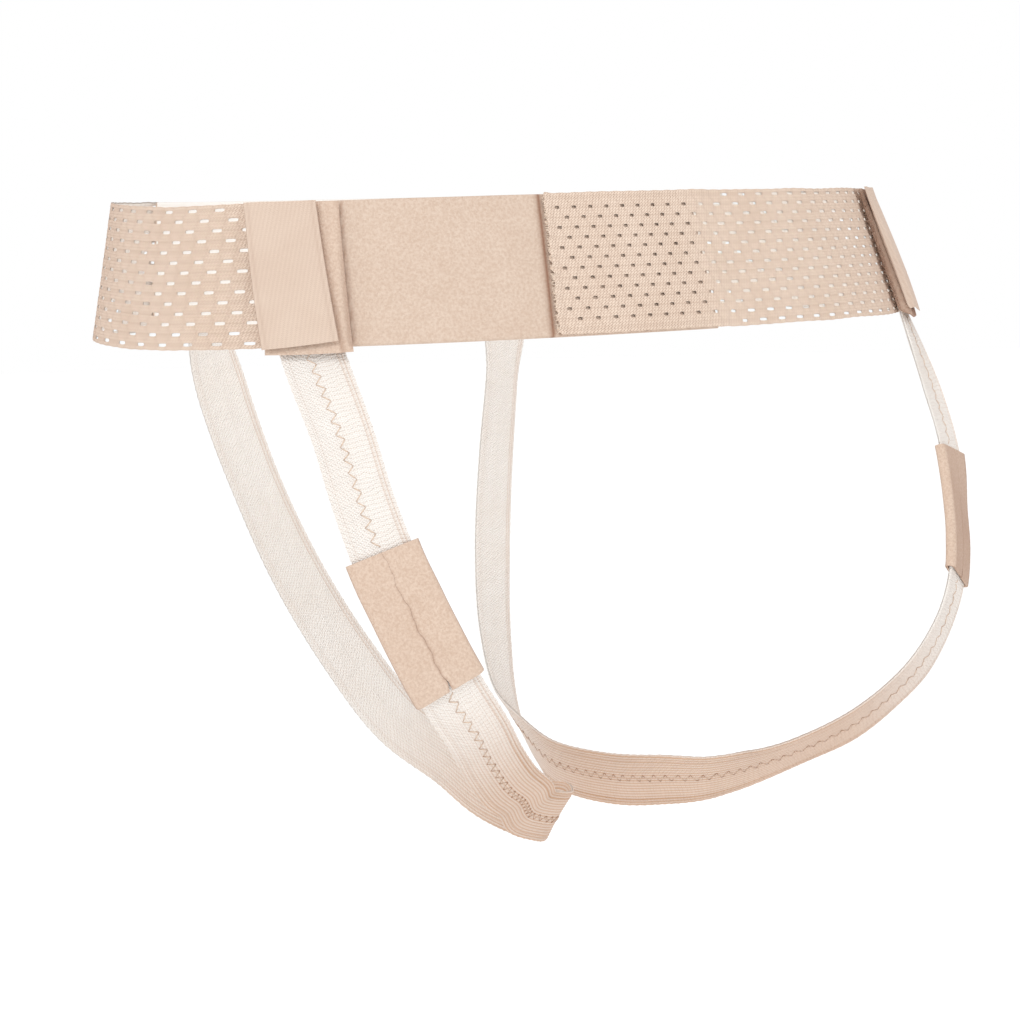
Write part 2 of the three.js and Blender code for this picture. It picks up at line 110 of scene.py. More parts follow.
def band_point(along, height, offset):
    """Points on the band. Offset is how far they stand off the outer face of its single layer."""
    along, height, offset = np.broadcast_arrays(*(np.asarray(x, float) for x in (along, height, offset)))
    middle, _, level, lean = band_axes(along)
    out = unit(np.stack([level[..., 0], level[..., 1], lean], -1))
    point = middle - level * (lean * height)[..., None] + out * offset[..., None]
    tilt = BACK_RISE * point[..., 1] / WAIST_BACK_DEPTH - LEFT_DROP * point[..., 0] / WAIST_HALF_WIDTH
    rise = FRONT_RISE * smooth_step((FRONT_RISE_START - point[..., 1]) / FRONT_RISE_LENGTH)
    point[..., 2] += height + tilt + rise
    return point


def slanted(along, height):
    """Where a crosswise line of the cloth lies at a height, because it slants over the back."""
    level = band_axes(along)[2]
    return along - BACK_SLANT * np.maximum(0, level[..., 1]) * height / BELT_HEIGHT


print("waist loop", round(WAIST_LENGTH, 1), "mm round")

# %% [markdown]
# A thigh strap follows a drawn route: out of the hip tab, round behind the leg, between the legs and up to the
# front of the band. It is the same smooth curve as in the CAD model, with the way that the strap's face looks
# given at every point, so the strap can twist without a kink.

# %% Route of a thigh strap
STRAP_WIDTH, STRAP_THICKNESS, STRAP_BOW, CLEARANCE = 22.0, 1.6, 0.6, 0.3
STRAP_TUCK, STRAP_TUCK_SHIFT, CROTCH_DROP = 14.0, 3.0, 208.0
STRAP_EASE, EASE_START, EASE_LENGTH = 0.05, 85.0, 55.0
FRONT_END_PLACE, FRONT_END_OVERLAP = 77.0, 22.0
TAB_WIDTH, TAB_SLANT = 27.0, 3.8
LEFT_TAB_CENTRE, RIGHT_TAB_CENTRE = 152.6, 142.0
LEFT_SAG, RIGHT_SAG = 1, -5
SAG_START, SAG_STRETCH = 0.91, 0.11

# across and depth are shares of the waist's half width and depth, drop the share of the way down, and turn and
# tilt the degrees by which the outer face turns round the leg and leans up
BACK_ROUTE = [
    (0.87, 0.814, 0.163, 64, 17), (0.864, 0.902, 0.286, 65, 13), (0.839, 0.965, 0.401, 61, 7),
    (0.812, 1.016, 0.485, 62, 3), (0.778, 1.051, 0.565, 63, -4), (0.729, 1.063, 0.645, 67, -16),
    (0.659, 1.05, 0.729, 75, -26), (0.598, 0.998, 0.791, 81, -35), (0.515, 0.92, 0.854, 88, -39),
    (0.423, 0.822, 0.899, 93, -44), (0.331, 0.688, 0.947, 102, -40), (0.233, 0.618, 0.972, 119, -34),
    (0.168, 0.5, 0.978, 143, -24), (0.131, 0.263, 0.994, 166, -18),
]
FRONT_ROUTE = [
    (0.112, 0.013, 0.976, 188, -17), (0.126, 0.176, 0.927, 213, -17), (0.169, 0.423, 0.85, 229, -28),
    (0.229, 0.611, 0.71, 244, -27), (0.302, 0.762, 0.53, 252, -23), (0.371, 0.865, 0.33, 256, -15),
    (0.43, 0.927, 0.13, 256, -6),
]


def smooth_curve(points, steps):
    """A centripetal Catmull-Rom curve through points, at evenly spaced values of its parameter."""
    p = np.array(points, float)
    p = np.vstack([2 * p[0] - p[1], p, 2 * p[-1] - p[-2]])
    gap = np.sqrt(np.linalg.norm(np.diff(p, axis=0), axis=1))
    gap = np.where(gap < 1e-4, 1.0, gap)
    t = np.linspace(0, len(points) - 1, steps)
    i = np.minimum(t.astype(int), len(points) - 2)
    w = (t - i)[:, None]
    before, here, after = gap[i][:, None], gap[i + 1][:, None], gap[i + 2][:, None]
    x0, x1, x2, x3 = p[i], p[i + 1], p[i + 2], p[i + 3]
    start = ((x1 - x0) / before - (x2 - x0) / (before + here) + (x2 - x1) / here) * here
    end = ((x2 - x1) / here - (x3 - x1) / (here + after) + (x3 - x2) / after) * here
    square = -3 * x1 + 3 * x2 - 2 * start - end
    cube = 2 * x1 - 2 * x2 + start + end
    return x1 + start * w + square * w**2 + cube * w**3


def facing(side, turn, tilt):
    """The way that the strap's outer face looks."""
    turn, tilt = math.radians(turn), math.radians(tilt)
    return [side * math.cos(tilt) * math.cos(turn), math.cos(tilt) * math.sin(turn), math.sin(tilt)]


def strap_route(side, tab_centre, sag):
    """Centre line, way out and length of the strap, as tables to look up by length."""
    offset = CLEARANCE + STRAP_THICKNESS / 2
    front = side * (FRONT_CENTRE - FRONT_END_PLACE)
    edge = side * (tab_centre - TAB_SLANT / 2)
    tuck = edge + side * STRAP_TUCK_SHIFT

    def out_at(along):
        _, _, level, lean = band_axes(np.array(along))
        return unit(np.array([level[0], level[1], lean])).tolist()

    def drop(share):
        sagged = sag * smooth_step((share - SAG_START) / SAG_STRETCH)
        return BOTTOM - (CROTCH_DROP + BOTTOM) * share - sagged

    points = [band_point(tuck, BOTTOM + STRAP_TUCK, offset), band_point(edge, BOTTOM, offset)]
    facings = [out_at(tuck), out_at(edge)]
    for rows, depth in ((BACK_ROUTE, WAIST_BACK_DEPTH), (FRONT_ROUTE, -WAIST_FRONT_DEPTH)):
        for across, share, down, turn, tilt in rows:
            points.append([side * WAIST_HALF_WIDTH * across, depth * share, drop(down)])
            facings.append(facing(side, turn, tilt))
    points += [band_point(front, BOTTOM, offset), band_point(front, BOTTOM + FRONT_END_OVERLAP, offset)]
    facings += [out_at(front), out_at(front)]
    line, face = smooth_curve(points, 6001), smooth_curve(facings, 6001)
    lengths = np.concatenate([[0], np.cumsum(np.linalg.norm(np.diff(line, axis=0), axis=1))])
    return {"line": line, "face": face, "lengths": lengths, "length": lengths[-1]}


def look_up(route, table, length):
    """A row of one of the route's tables at a length along the strap."""
    return np.stack([np.interp(length, route["lengths"], route[table][:, k]) for k in range(3)], -1)


def strap_axes(route, length):
    """Centre, way across and way out of the strap at a length along it."""
    centre = look_up(route, "line", length)
    ahead = unit(look_up(route, "line", length + 0.4) - look_up(route, "line", length - 0.4))
    out = look_up(route, "face", length)
    out = unit(out - ahead * (out * ahead).sum(-1, keepdims=True))
    return centre, np.cross(ahead, out), out


def strap_ease(route, length):
    """The strap's width as a multiple of its stretched width. It is stretched less round the crotch."""
    from_tab = smooth_step((length - EASE_START) / EASE_LENGTH)
    from_front = smooth_step((route["length"] - EASE_START - length) / EASE_LENGTH)
    return 1 + STRAP_EASE * np.minimum(from_tab, from_front)


def strap_point(route, length, across, offset):
    """Points on a strap: along it, across it, and off its middle layer."""
    length, across, offset = np.broadcast_arrays(*(np.asarray(x, float) for x in (length, across, offset)))
    inside = np.clip(length, 0.5, route["length"] - 0.5)
    centre, side, out = strap_axes(route, inside)
    ahead = np.cross(out, side)
    return centre + side * across[..., None] + out * offset[..., None] + ahead * (length - inside)[..., None]


ROUTES = {"left": strap_route(1, LEFT_TAB_CENTRE, LEFT_SAG), "right": strap_route(-1, RIGHT_TAB_CENTRE, RIGHT_SAG)}
print("strap lengths", {k: round(r["length"], 1) for k, r in ROUTES.items()})

# %% [markdown]
# Every piece ends up as points and faces, which Blender turns into a mesh object with from_pydata. A UV layer keeps
# the flat cloth's own millimetres, so that a weave lies on it the way it was woven, and named values on the points
# carry the painted shade and the lining to the materials.

# %% Mesh objects
MM = 0.001


def new_object(name, points, faces, uvs=None, marks=None):
    """A smooth mesh object in metres, from points in millimetres. Marks are named values on its points."""
    mesh = bpy.data.meshes.new(name)
    mesh.from_pydata((np.asarray(points) * MM).tolist(), [], faces)
    if uvs is not None:
        layer = mesh.uv_layers.new(name="Cloth")
        corner = np.empty(len(mesh.loops), int)
        mesh.loops.foreach_get("vertex_index", corner)
        layer.data.foreach_set("uv", (0.5 + np.asarray(uvs)[corner] * MM).astype(np.float32).ravel())
    for label, values in (marks or {}).items():
        attribute = mesh.attributes.new(label, "FLOAT", "POINT")
        attribute.data.foreach_set("value", np.asarray(values, np.float32).ravel())
    mesh.polygons.foreach_set("use_smooth", [True] * len(mesh.polygons))
    mesh.validate()
    mesh.set_sharp_from_angle(angle=math.radians(60))
    made = bpy.data.objects.new(name, mesh)
    bpy.context.scene.collection.objects.link(made)
    return made


# %% [markdown]
# Cut cloth isn't a sharp slab: its edges round over. A Solidify modifier would leave square edges, and a bevel
# would need clean corners everywhere. Here an outer and an inner sheet share one outline, and the thickness
# between them swells from nothing at the edge, like a very flat pillow. Cells can be left out of both sheets,
# which gives real holes with walls.

# %% Cloth from two sheets
RIM = np.array([0, 0.1, 0.34, 0.66])
INNER_SHEET_SHIFT = 120.0


def edged_places(low, high, step, rim):
    """Places from low to high, crowded at both ends, where the cloth rounds over."""
    count = max(1, math.ceil((high - low - 2 * rim) / step))
    inner = np.linspace(low + rim, high - rim, count + 1)
    return np.concatenate([low + rim * RIM, inner, high - rim * RIM[::-1]])


def fullness(places, rim):
    """The share of the thickness that the cloth has at each place."""
    near = np.clip(np.minimum(places - places[0], places[-1] - places) / rim, 0, 1)
    return np.sqrt(np.maximum(0, 1 - (1 - near) ** 2))


def hole_walls(upper, lower, holes):
    """Faces round the cut edges of the holes, from the point numbers of the outer and the inner sheet."""
    walls = []
    for i, j in zip(*np.nonzero(holes[:, 1:] != holes[:, :-1])):
        first, last = (i, j + 1), (i + 1, j + 1)
        walls.append([upper[first], upper[last], lower[last], lower[first]][:: 1 if holes[i, j] else -1])
    for i, j in zip(*np.nonzero(holes[1:, :] != holes[:-1, :])):
        first, last = (i + 1, j), (i + 1, j + 1)
        walls.append([upper[first], upper[last], lower[last], lower[first]][:: -1 if holes[i, j] else 1])
    return np.array(walls, int).reshape(-1, 4)


def cloth(name, surface, along, across, thickness, rim, lift=0.0, relief=0.0, under=0.0, holes=None, shade=0.0):
    """Cloth on a surface, which gives points for places along, places across and an offset."""
    a, h = np.meshgrid(along, across, indexing="ij")
    full = fullness(along, rim)[:, None] * fullness(across, rim)[None, :]
    outer = surface(a, h, lift + full * (thickness / 2 + relief))
    inner = surface(a, h, lift - full * (thickness / 2 + under))
    count_a, count_h = a.shape
    upper = np.arange(a.size).reshape(a.shape)
    lower = upper.copy()
    lower[1:-1, 1:-1] = a.size + np.arange((count_a - 2) * (count_h - 2)).reshape(count_a - 2, count_h - 2)
    points = np.concatenate([outer.reshape(-1, 3), inner[1:-1, 1:-1].reshape(-1, 3)])
    flat = np.stack([a, h], -1)
    under_flat = flat + np.array([0, INNER_SHEET_SHIFT])
    uvs = np.concatenate([flat.reshape(-1, 2), under_flat[1:-1, 1:-1].reshape(-1, 2)])
    shades = np.broadcast_to(shade, a.shape)
    shades = np.concatenate([shades.ravel(), shades[1:-1, 1:-1].ravel()])
    lining = np.concatenate([np.zeros(a.size), np.ones(len(points) - a.size)])
    if holes is None:
        holes = np.zeros((count_a - 1, count_h - 1), bool)
    i, j = np.nonzero(~holes)
    top = np.stack([upper[i, j], upper[i, j + 1], upper[i + 1, j + 1], upper[i + 1, j]], 1)
    base = np.stack([lower[i, j], lower[i + 1, j], lower[i + 1, j + 1], lower[i, j + 1]], 1)
    faces = np.concatenate([top, base, hole_walls(upper, lower, holes)])
    used = np.zeros(len(points), bool)
    used[faces] = True
    renumbered = np.cumsum(used) - 1
    points, uvs, faces = points[used], uvs[used], renumbered[faces]
    a0, a1, a2 = points[faces[:, 0]], points[faces[:, 1]], points[faces[:, 2]]
    if (a0 * np.cross(a1, a2)).sum() < 0:
        faces = faces[:, ::-1]
    return new_object(name, points, faces.tolist(), uvs, {"Shade": shades[used], "Lining": lining[used]})


# %% [markdown]
# Stitches are thread, so they are thin round tubes that dip into the cloth and rise out of it. A curve object
# with a bevel would do it, but a mesh tube exports as it is.

# %% Tubes of thread
def tube(points, radius, sides, shade):
    """Rings of points round a line, as (points, faces, shade). Shade has one value for each ring, or for all."""
    line = np.asarray(points, float)
    ahead = unit(np.gradient(line, axis=0))
    helper = np.where(np.abs(ahead[:, 2:3]) > 0.9, [[1.0, 0, 0]], [[0, 0, 1.0]])
    side = unit(np.cross(ahead, helper))
    other = np.cross(ahead, side)
    turn = np.arange(sides) * 2 * np.pi / sides
    ring = side[:, None] * np.cos(turn)[None, :, None] + other[:, None] * np.sin(turn)[None, :, None]
    around = (line[:, None] + radius * ring).reshape(-1, 3)
    faces = []
    for s in range(len(line) - 1):
        for k in range(sides):
            a, b = s * sides + k, s * sides + (k + 1) % sides
            faces.append([a, b, b + sides, a + sides])
    last = (len(line) - 1) * sides
    faces += [list(range(sides))[::-1], list(range(last, last + sides))]
    return around, faces, np.repeat(np.broadcast_to(shade, len(line)), sides)


def joined(name, parts):
    """One object from several tubes."""
    points, shades, faces, base = [], [], [], 0
    for some_points, some_faces, some_shades in parts:
        points.append(some_points)
        shades.append(some_shades)
        faces += [[base + v for v in f] for f in some_faces]
        base += len(some_points)
    return new_object(name, np.concatenate(points), faces, None, {"Shade": np.concatenate(shades)})


def fuzz(name, place_at, count, radius, seed, shade):
    """Short loose fibres. place_at gives the root, middle and tip of a fibre for four random numbers."""
    rng = np.random.default_rng(seed)
    return joined(name, [tube(place_at(*rng.uniform(0, 1, 4)), radius, 3, shade) for _ in range(count)])


# %% [markdown]
# Every finish here starts from matched colours. They are written as they look on a screen, from
# 0 to 255, and a small helper turns them into the linear values that the shader needs.

# %% Colours and node helpers
def paint(red, green, blue):
    """A screen colour as linear values, with a full alpha."""
    screen = (red / 255, green / 255, blue / 255)
    return (*((c / 12.92) if c <= 0.04045 else ((c + 0.055) / 1.055) ** 2.4 for c in screen), 1.0)


def add_node(tree, kind, settings=None, inputs=None):
    """A node with its settings, and its inputs set or linked by name or number."""
    node = tree.nodes.new(kind)
    for key, value in (settings or {}).items():
        setattr(node, key, value)
    for key, value in (inputs or {}).items():
        if isinstance(value, bpy.types.NodeSocket):
            tree.links.new(value, node.inputs[key])
        else:
            node.inputs[key].default_value = value
    return node


def calc(tree, operation, *values):
    """The result of a Math node on numbers or sockets."""
    return add_node(tree, "ShaderNodeMath", {"operation": operation}, dict(enumerate(values))).outputs[0]


def new_group(name, inputs, outputs):
    """An empty node group with named sockets, and its two end nodes."""
    group = bpy.data.node_groups.new(name, "ShaderNodeTree")
    for label, kind, value in inputs:
        socket = group.interface.new_socket(label, in_out="INPUT", socket_type=kind)
        if value is not None:
            socket.default_value = value
    for label, kind in outputs:
        group.interface.new_socket(label, in_out="OUTPUT", socket_type=kind)
    return group, group.nodes.new("NodeGroupInput"), group.nodes.new("NodeGroupOutput")


# %% [markdown]
# A few effects return on several cloths, so each is a node group of its own. The first is a weave: small round
# cells in rows, with dark gaps between them. Stretching and skewing the cells turns it into a knit, a rib or a
# twill.

# %% Node group: weave
def build_weave():
    group, start, end = new_group(
        "Weave",
        [("Place", "NodeSocketVector", None), ("Cell Length", "NodeSocketFloat", 1.0),
         ("Cell Height", "NodeSocketFloat", 1.0), ("Skew", "NodeSocketFloat", 0.0),
         ("Wobble", "NodeSocketFloat", 0.1)],
        [("Height", "NodeSocketFloat"), ("Gap", "NodeSocketFloat")],
    )
    put = start.outputs
    noise = add_node(group, "ShaderNodeTexNoise", {"noise_dimensions": "2D"},
                     {"Vector": put["Place"], "Scale": 0.35, "Detail": 2.0})
    shift = calc(group, "MULTIPLY", calc(group, "SUBTRACT", noise.outputs["Fac"], 0.5), put["Wobble"])
    place = add_node(group, "ShaderNodeSeparateXYZ", None, {0: put["Place"]})
    row = calc(group, "ADD", calc(group, "DIVIDE", place.outputs[1], put["Cell Height"]), shift)
    slid = calc(group, "ADD", place.outputs[0], calc(group, "MULTIPLY", place.outputs[1], put["Skew"]))
    column = calc(group, "ADD", calc(group, "DIVIDE", slid, put["Cell Length"]), shift)
    brick = calc(group, "MULTIPLY", calc(group, "FLOOR", row), 0.5)
    column = calc(group, "ADD", column, brick)
    hump_row = calc(group, "ABSOLUTE", calc(group, "SINE", calc(group, "MULTIPLY", row, math.pi)))
    hump_column = calc(group, "ABSOLUTE", calc(group, "SINE", calc(group, "MULTIPLY", column, math.pi)))
    soft_row = calc(group, "ADD", calc(group, "MULTIPLY", hump_row, 0.75), 0.25)
    height = calc(group, "POWER", calc(group, "MULTIPLY", soft_row, hump_column), 0.6)
    gap = add_node(group, "ShaderNodeMapRange", {"interpolation_type": "SMOOTHSTEP"},
                   {0: height, 1: 0.0, 2: 0.55, 3: 1.0, 4: 0.0})
    group.links.new(height, end.inputs["Height"])
    group.links.new(gap.outputs[0], end.inputs["Gap"])
    return group


WEAVE = build_weave()

# %% [markdown]
# The second effect is the brushed pile of loop cloth: thousands of short fibres that lie every way. Two sizes of
# noise give tufts and single fibres, as a height for the bump and as a light and dark grain.

# %% Node group: brushed pile
def build_pile():
    group, start, end = new_group(
        "Brushed Pile",
        [("Place", "NodeSocketVector", None), ("Tuft Size", "NodeSocketFloat", 0.8)],
        [("Height", "NodeSocketFloat"), ("Grain", "NodeSocketFloat")],
    )
    put = start.outputs
    scale = calc(group, "DIVIDE", 1.0, put["Tuft Size"])
    tufts = add_node(group, "ShaderNodeTexNoise", None,
                     {"Vector": put["Place"], "Scale": scale, "Detail": 4.0, "Roughness": 0.65})
    fibres = add_node(group, "ShaderNodeTexVoronoi", {"feature": "SMOOTH_F1"},
                      {"Vector": put["Place"], "Scale": calc(group, "MULTIPLY", scale, 1.7), "Smoothness": 0.4})
    height = calc(group, "ADD", calc(group, "MULTIPLY", tufts.outputs["Fac"], 0.7),
                  calc(group, "MULTIPLY", fibres.outputs["Distance"], 0.4))
    grain = add_node(group, "ShaderNodeMapRange", {"interpolation_type": "SMOOTHSTEP"},
                     {0: tufts.outputs["Fac"], 1: 0.3, 2: 0.7, 3: 0.0, 4: 1.0})
    group.links.new(height, end.inputs["Height"])
    group.links.new(grain.outputs[0], end.inputs["Grain"])
    return group


PILE = build_pile()

# %% [markdown]
# The straps also show rows that run across them, level on one side of the middle and slanting on the other,
# because the two halves are pulled differently. A group of its own draws them, dotted where loops cross.

# %% Node group: knit rows
UV_MIDDLE, STITCH_PLACE = 500.0, 1.0


def build_knit_rows():
    group, start, end = new_group(
        "Knit Rows",
        [("Place", "NodeSocketVector", None), ("Row Step", "NodeSocketFloat", 1.6)],
        [("Height", "NodeSocketFloat"), ("Gap", "NodeSocketFloat")],
    )
    put = start.outputs
    place = add_node(group, "ShaderNodeSeparateXYZ", None, {0: put["Place"]})
    across = calc(group, "SUBTRACT", place.outputs[1], UV_MIDDLE + STITCH_PLACE)
    sloped = calc(group, "MULTIPLY", calc(group, "MAXIMUM", across, 0.0), 1.1)
    noise = add_node(group, "ShaderNodeTexNoise", {"noise_dimensions": "2D"},
                     {"Vector": put["Place"], "Scale": 0.22, "Detail": 1.0})
    swayed = calc(group, "ADD", sloped, calc(group, "MULTIPLY", noise.outputs["Fac"], 2.2))
    row = calc(group, "DIVIDE", calc(group, "ADD", place.outputs[0], swayed), put["Row Step"])
    hump = calc(group, "ABSOLUTE", calc(group, "SINE", calc(group, "MULTIPLY", row, math.pi)))
    wale = calc(group, "ABSOLUTE", calc(group, "SINE", calc(group, "MULTIPLY", place.outputs[1], math.pi / 0.9)))
    gap = add_node(group, "ShaderNodeMapRange", {"interpolation_type": "SMOOTHSTEP"},
                   {0: calc(group, "ADD", hump, calc(group, "MULTIPLY", wale, 0.35)), 1: 0.0, 2: 0.6, 3: 1.0, 4: 0.0})
    group.links.new(hump, end.inputs["Height"])
    group.links.new(gap.outputs[0], end.inputs["Gap"])
    return group


KNIT_ROWS = build_knit_rows()

# %% [markdown]
# The last effect is handling: slow, cloudy changes where cloth has been stretched, rubbed or touched. It only
# shifts a colour a little, but without it a large plain surface looks like plastic.

# %% Node group: handling
def build_handling():
    group, start, end = new_group(
        "Handling",
        [("Place", "NodeSocketVector", None), ("Patch Size", "NodeSocketFloat", 20.0)],
        [("Cloud", "NodeSocketFloat")],
    )
    put = start.outputs
    clouds = add_node(group, "ShaderNodeTexNoise", None,
                      {"Vector": put["Place"], "Scale": calc(group, "DIVIDE", 1.0, put["Patch Size"]),
                       "Detail": 3.0, "Distortion": 0.6})
    cloud = add_node(group, "ShaderNodeMapRange", None, {0: clouds.outputs["Fac"], 1: 0.3, 2: 0.7, 3: 0.0, 4: 1.0})
    group.links.new(cloud.outputs[0], end.inputs["Cloud"])
    return group


HANDLING = build_handling()

# %% [markdown]
# Every cloth is a dull, rough surface with a soft sheen from its fibres. Seen edge on, a pile or a knit shows its
# deeper, warmer roots, so a Layer Weight node turns each colour towards a root colour there; this darkening is also
# painted shade on the edges that turn away from the light. The material function takes the colours and the scale of
# each effect, so the finishes share one build.

# %% Material helpers
def use_group(tree, group, **inputs):
    """The outputs of a node group, with its inputs set or linked by name."""
    node = add_node(tree, "ShaderNodeGroup", {"node_tree": group})
    for key, value in inputs.items():
        label = key.replace("_", " ")
        if isinstance(value, bpy.types.NodeSocket):
            tree.links.new(value, node.inputs[label])
        else:
            node.inputs[label].default_value = value
    return node.outputs


def blend_colour(tree, share, first, second):
    """A mix of two colours, each a value or a socket."""
    node = add_node(tree, "ShaderNodeMix", {"data_type": "RGBA", "clamp_factor": True})
    for socket, value in ((node.inputs[0], share), (node.inputs[6], first), (node.inputs[7], second)):
        if isinstance(value, bpy.types.NodeSocket):
            tree.links.new(value, socket)
        else:
            socket.default_value = value
    return node.outputs[2]


PATCH_SIZE = 18.0


def cloth_material(name, light, dark, gap, root, crease, lining=None, weave=None, rows=None, pile=None, bump=0.1,
                   cloud_share=0.5, gap_share=0.5, grain_share=0.5, root_and_shade_share=0.6):
    """A cloth finish. weave is (cell length, cell height, skew), rows the row step and pile the tuft size, in mm."""
    material = bpy.data.materials.new(name)
    material.use_nodes = True
    tree = material.node_tree
    shader = tree.nodes["Principled BSDF"]
    uv = add_node(tree, "ShaderNodeUVMap", {"uv_map": "Cloth"})
    flat = add_node(tree, "ShaderNodeVectorMath", {"operation": "SCALE"}, {0: uv.outputs[0], "Scale": 1000.0})
    spot = add_node(tree, "ShaderNodeTexCoord")
    solid = add_node(tree, "ShaderNodeVectorMath", {"operation": "SCALE"}, {0: spot.outputs["Object"], "Scale": 1000.0})
    cloud = use_group(tree, HANDLING, Place=solid.outputs[0], Patch_Size=PATCH_SIZE)["Cloud"]
    colour = blend_colour(tree, calc(tree, "MULTIPLY", cloud, cloud_share), light, dark)
    heights = []
    if pile:
        piled = use_group(tree, PILE, Place=solid.outputs[0], Tuft_Size=pile)
        colour = blend_colour(tree, calc(tree, "MULTIPLY", piled["Grain"], grain_share), colour, dark)
        heights.append(piled["Height"])
    if weave:
        length, tall, skew = weave
        woven = use_group(tree, WEAVE, Place=flat.outputs[0], Cell_Length=length, Cell_Height=tall, Skew=skew)
        colour = blend_colour(tree, calc(tree, "MULTIPLY", woven["Gap"], gap_share), colour, gap)
        heights.append(woven["Height"])
    if rows:
        knitted = use_group(tree, KNIT_ROWS, Place=flat.outputs[0], Row_Step=rows)
        colour = blend_colour(tree, calc(tree, "MULTIPLY", knitted["Gap"], gap_share), colour, gap)
        heights.append(knitted["Height"])
    # edge on, each colour darkens: partly the roots of the pile, partly painted shade
    edge_on = add_node(tree, "ShaderNodeLayerWeight", None, {"Blend": 0.5}).outputs["Facing"]
    edge_on_root_and_shade = calc(tree, "MULTIPLY", calc(tree, "POWER", edge_on, 3.0), root_and_shade_share)
    colour = blend_colour(tree, edge_on_root_and_shade, colour, root)
    if lining:
        inside = add_node(tree, "ShaderNodeAttribute", {"attribute_name": "Lining"})
        colour = blend_colour(tree, inside.outputs["Fac"], colour, lining)
    # the Shade value on the points mixes each colour towards its crease colour: painted shade
    mark = add_node(tree, "ShaderNodeAttribute", {"attribute_name": "Shade"})
    colour = blend_colour(tree, mark.outputs["Fac"], colour, crease)
    tree.links.new(colour, shader.inputs["Base Color"])
    height = heights[0]
    for more in heights[1:]:
        height = calc(tree, "ADD", height, more)
    lump = add_node(tree, "ShaderNodeBump", None, {"Height": height, "Strength": 1.0, "Distance": bump * MM})
    tree.links.new(lump.outputs[0], shader.inputs["Normal"])
    rough = add_node(tree, "ShaderNodeMapRange", None, {0: cloud, 1: 0.0, 2: 1.0, 3: 0.86, 4: 0.95})
    tree.links.new(rough.outputs[0], shader.inputs["Roughness"])
    shader.inputs["Specular IOR Level"].default_value = 0.2
    shader.inputs["Sheen Weight"].default_value = 0.1
    shader.inputs["Sheen Roughness"].default_value = 0.5
    return material


# %% [markdown]
# The belt has six finishes. The mesh and the velour are laminated to a paler cloth, which shows as the lining on
# their inner sheets. The tabs are the brushed cloth again, darker where seen edge on: partly the pile's roots, partly
# painted shade.

# %% Materials
# the first colour is painted shade for creases, grooves and gaps; the second is the colour of cloth seen edge on,
# partly its pile's roots and partly painted shade
CREVICE_SHADE, ROOT_AND_EDGE_SHADE = paint(142, 98, 74), paint(176, 134, 106)
MATERIALS = {
    "mesh": cloth_material("Ribbed elastic", paint(236, 215, 197), paint(224, 200, 180), paint(164, 120, 90), ROOT_AND_EDGE_SHADE,
                           CREVICE_SHADE, lining=paint(244, 234, 224), weave=(1.35, 1.1, 0.95), bump=0.26, gap_share=0.7,
                           root_and_shade_share=0.4),
    "velour": cloth_material("Brushed loop cloth", paint(221, 201, 184), paint(190, 161, 140), CREVICE_SHADE, ROOT_AND_EDGE_SHADE,
                             CREVICE_SHADE, lining=paint(248, 243, 237), pile=1.0, bump=0.3, cloud_share=0.15,
                             grain_share=0.55),
    "tab": cloth_material("Brushed tab cloth", paint(224, 202, 184), paint(189, 158, 136), CREVICE_SHADE,
                          paint(146, 102, 76), CREVICE_SHADE, pile=0.9, bump=0.3, cloud_share=0.15, grain_share=0.55,
                          root_and_shade_share=1.0),
    "hook": cloth_material("Smooth twill", paint(218, 197, 180), paint(211, 188, 171), paint(168, 134, 112), ROOT_AND_EDGE_SHADE,
                           CREVICE_SHADE, weave=(1.4, 0.7, 1.3), bump=0.1, gap_share=0.4, root_and_shade_share=0.2),
    "strap": cloth_material("Knitted elastic", paint(250, 246, 241), paint(244, 236, 228), paint(198, 166, 141), ROOT_AND_EDGE_SHADE,
                            paint(205, 164, 133), weave=(0.8, 0.75, 0.0), rows=1.6, bump=0.18, gap_share=0.5,
                            root_and_shade_share=0.2),
    "thread": cloth_material("Sewing thread", paint(240, 222, 204), paint(228, 205, 184), CREVICE_SHADE, ROOT_AND_EDGE_SHADE,
                             paint(150, 105, 76), pile=0.4, bump=0.03),
}
print("materials:", ", ".join(material.name for material in MATERIALS.values()))


def finish_piece(piece, material, slot, *nodes):
    """Gives a piece its finish and its place on the body, and hides the CAD nodes that it stands for."""
    piece.data.materials.clear()
    piece.data.materials.append(MATERIALS[material])
    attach(piece, "root")
    if nodes:
        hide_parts(*nodes)
    triangles = sum(len(p.vertices) - 2 for p in piece.data.polygons)
    print(f"{piece.name}: {triangles} triangles")


# %% [markdown]
# The panels are brushed loop cloth, the soft half of a hook and loop fastener. Real ones are a foam-backed
# knit, so they bend in one smooth sweep with a few faint creases along it. A slow wave gives the cloth its
# unevenness, a fine one the pile, and three thin ridges that come and go the creases.

# %% Back and front panels
PANEL_THICKNESS = 2.0
BACK_PANEL_RIGHT_END, PANEL_TO_MESH_JOIN = -4.0, 155.0
MESH_END_ON_PANEL, FRONT_PANEL_HALF_LENGTH = 65.0, 112.0
PANEL_RIM = 0.9
CREASES, CREASE_HEIGHT = ((3.0, -0.04), (-2.0, 0.05), (-11.0, 0.02)), 0.1


def waves(a, h, seed, size, strength):
    """A smooth random height over the cloth, from a few crossing waves."""
    rng = np.random.default_rng(seed)
    total = np.zeros(np.broadcast(a, h).shape)
    for _ in range(9):
        angle, phase = rng.uniform(0, 2 * np.pi, 2)
        length = size * rng.uniform(0.6, 1.8)
        total = total + np.sin(2 * np.pi * (a * np.cos(angle) + h * np.sin(angle)) / length + phase)
    return total * strength / 9


def band_surface(a, h, offset):
    """The band's surface, with its crosswise lines slanted as they are at the back."""
    return band_point(slanted(a, h), h, offset)


def no_shade(a, h):
    return 0.0


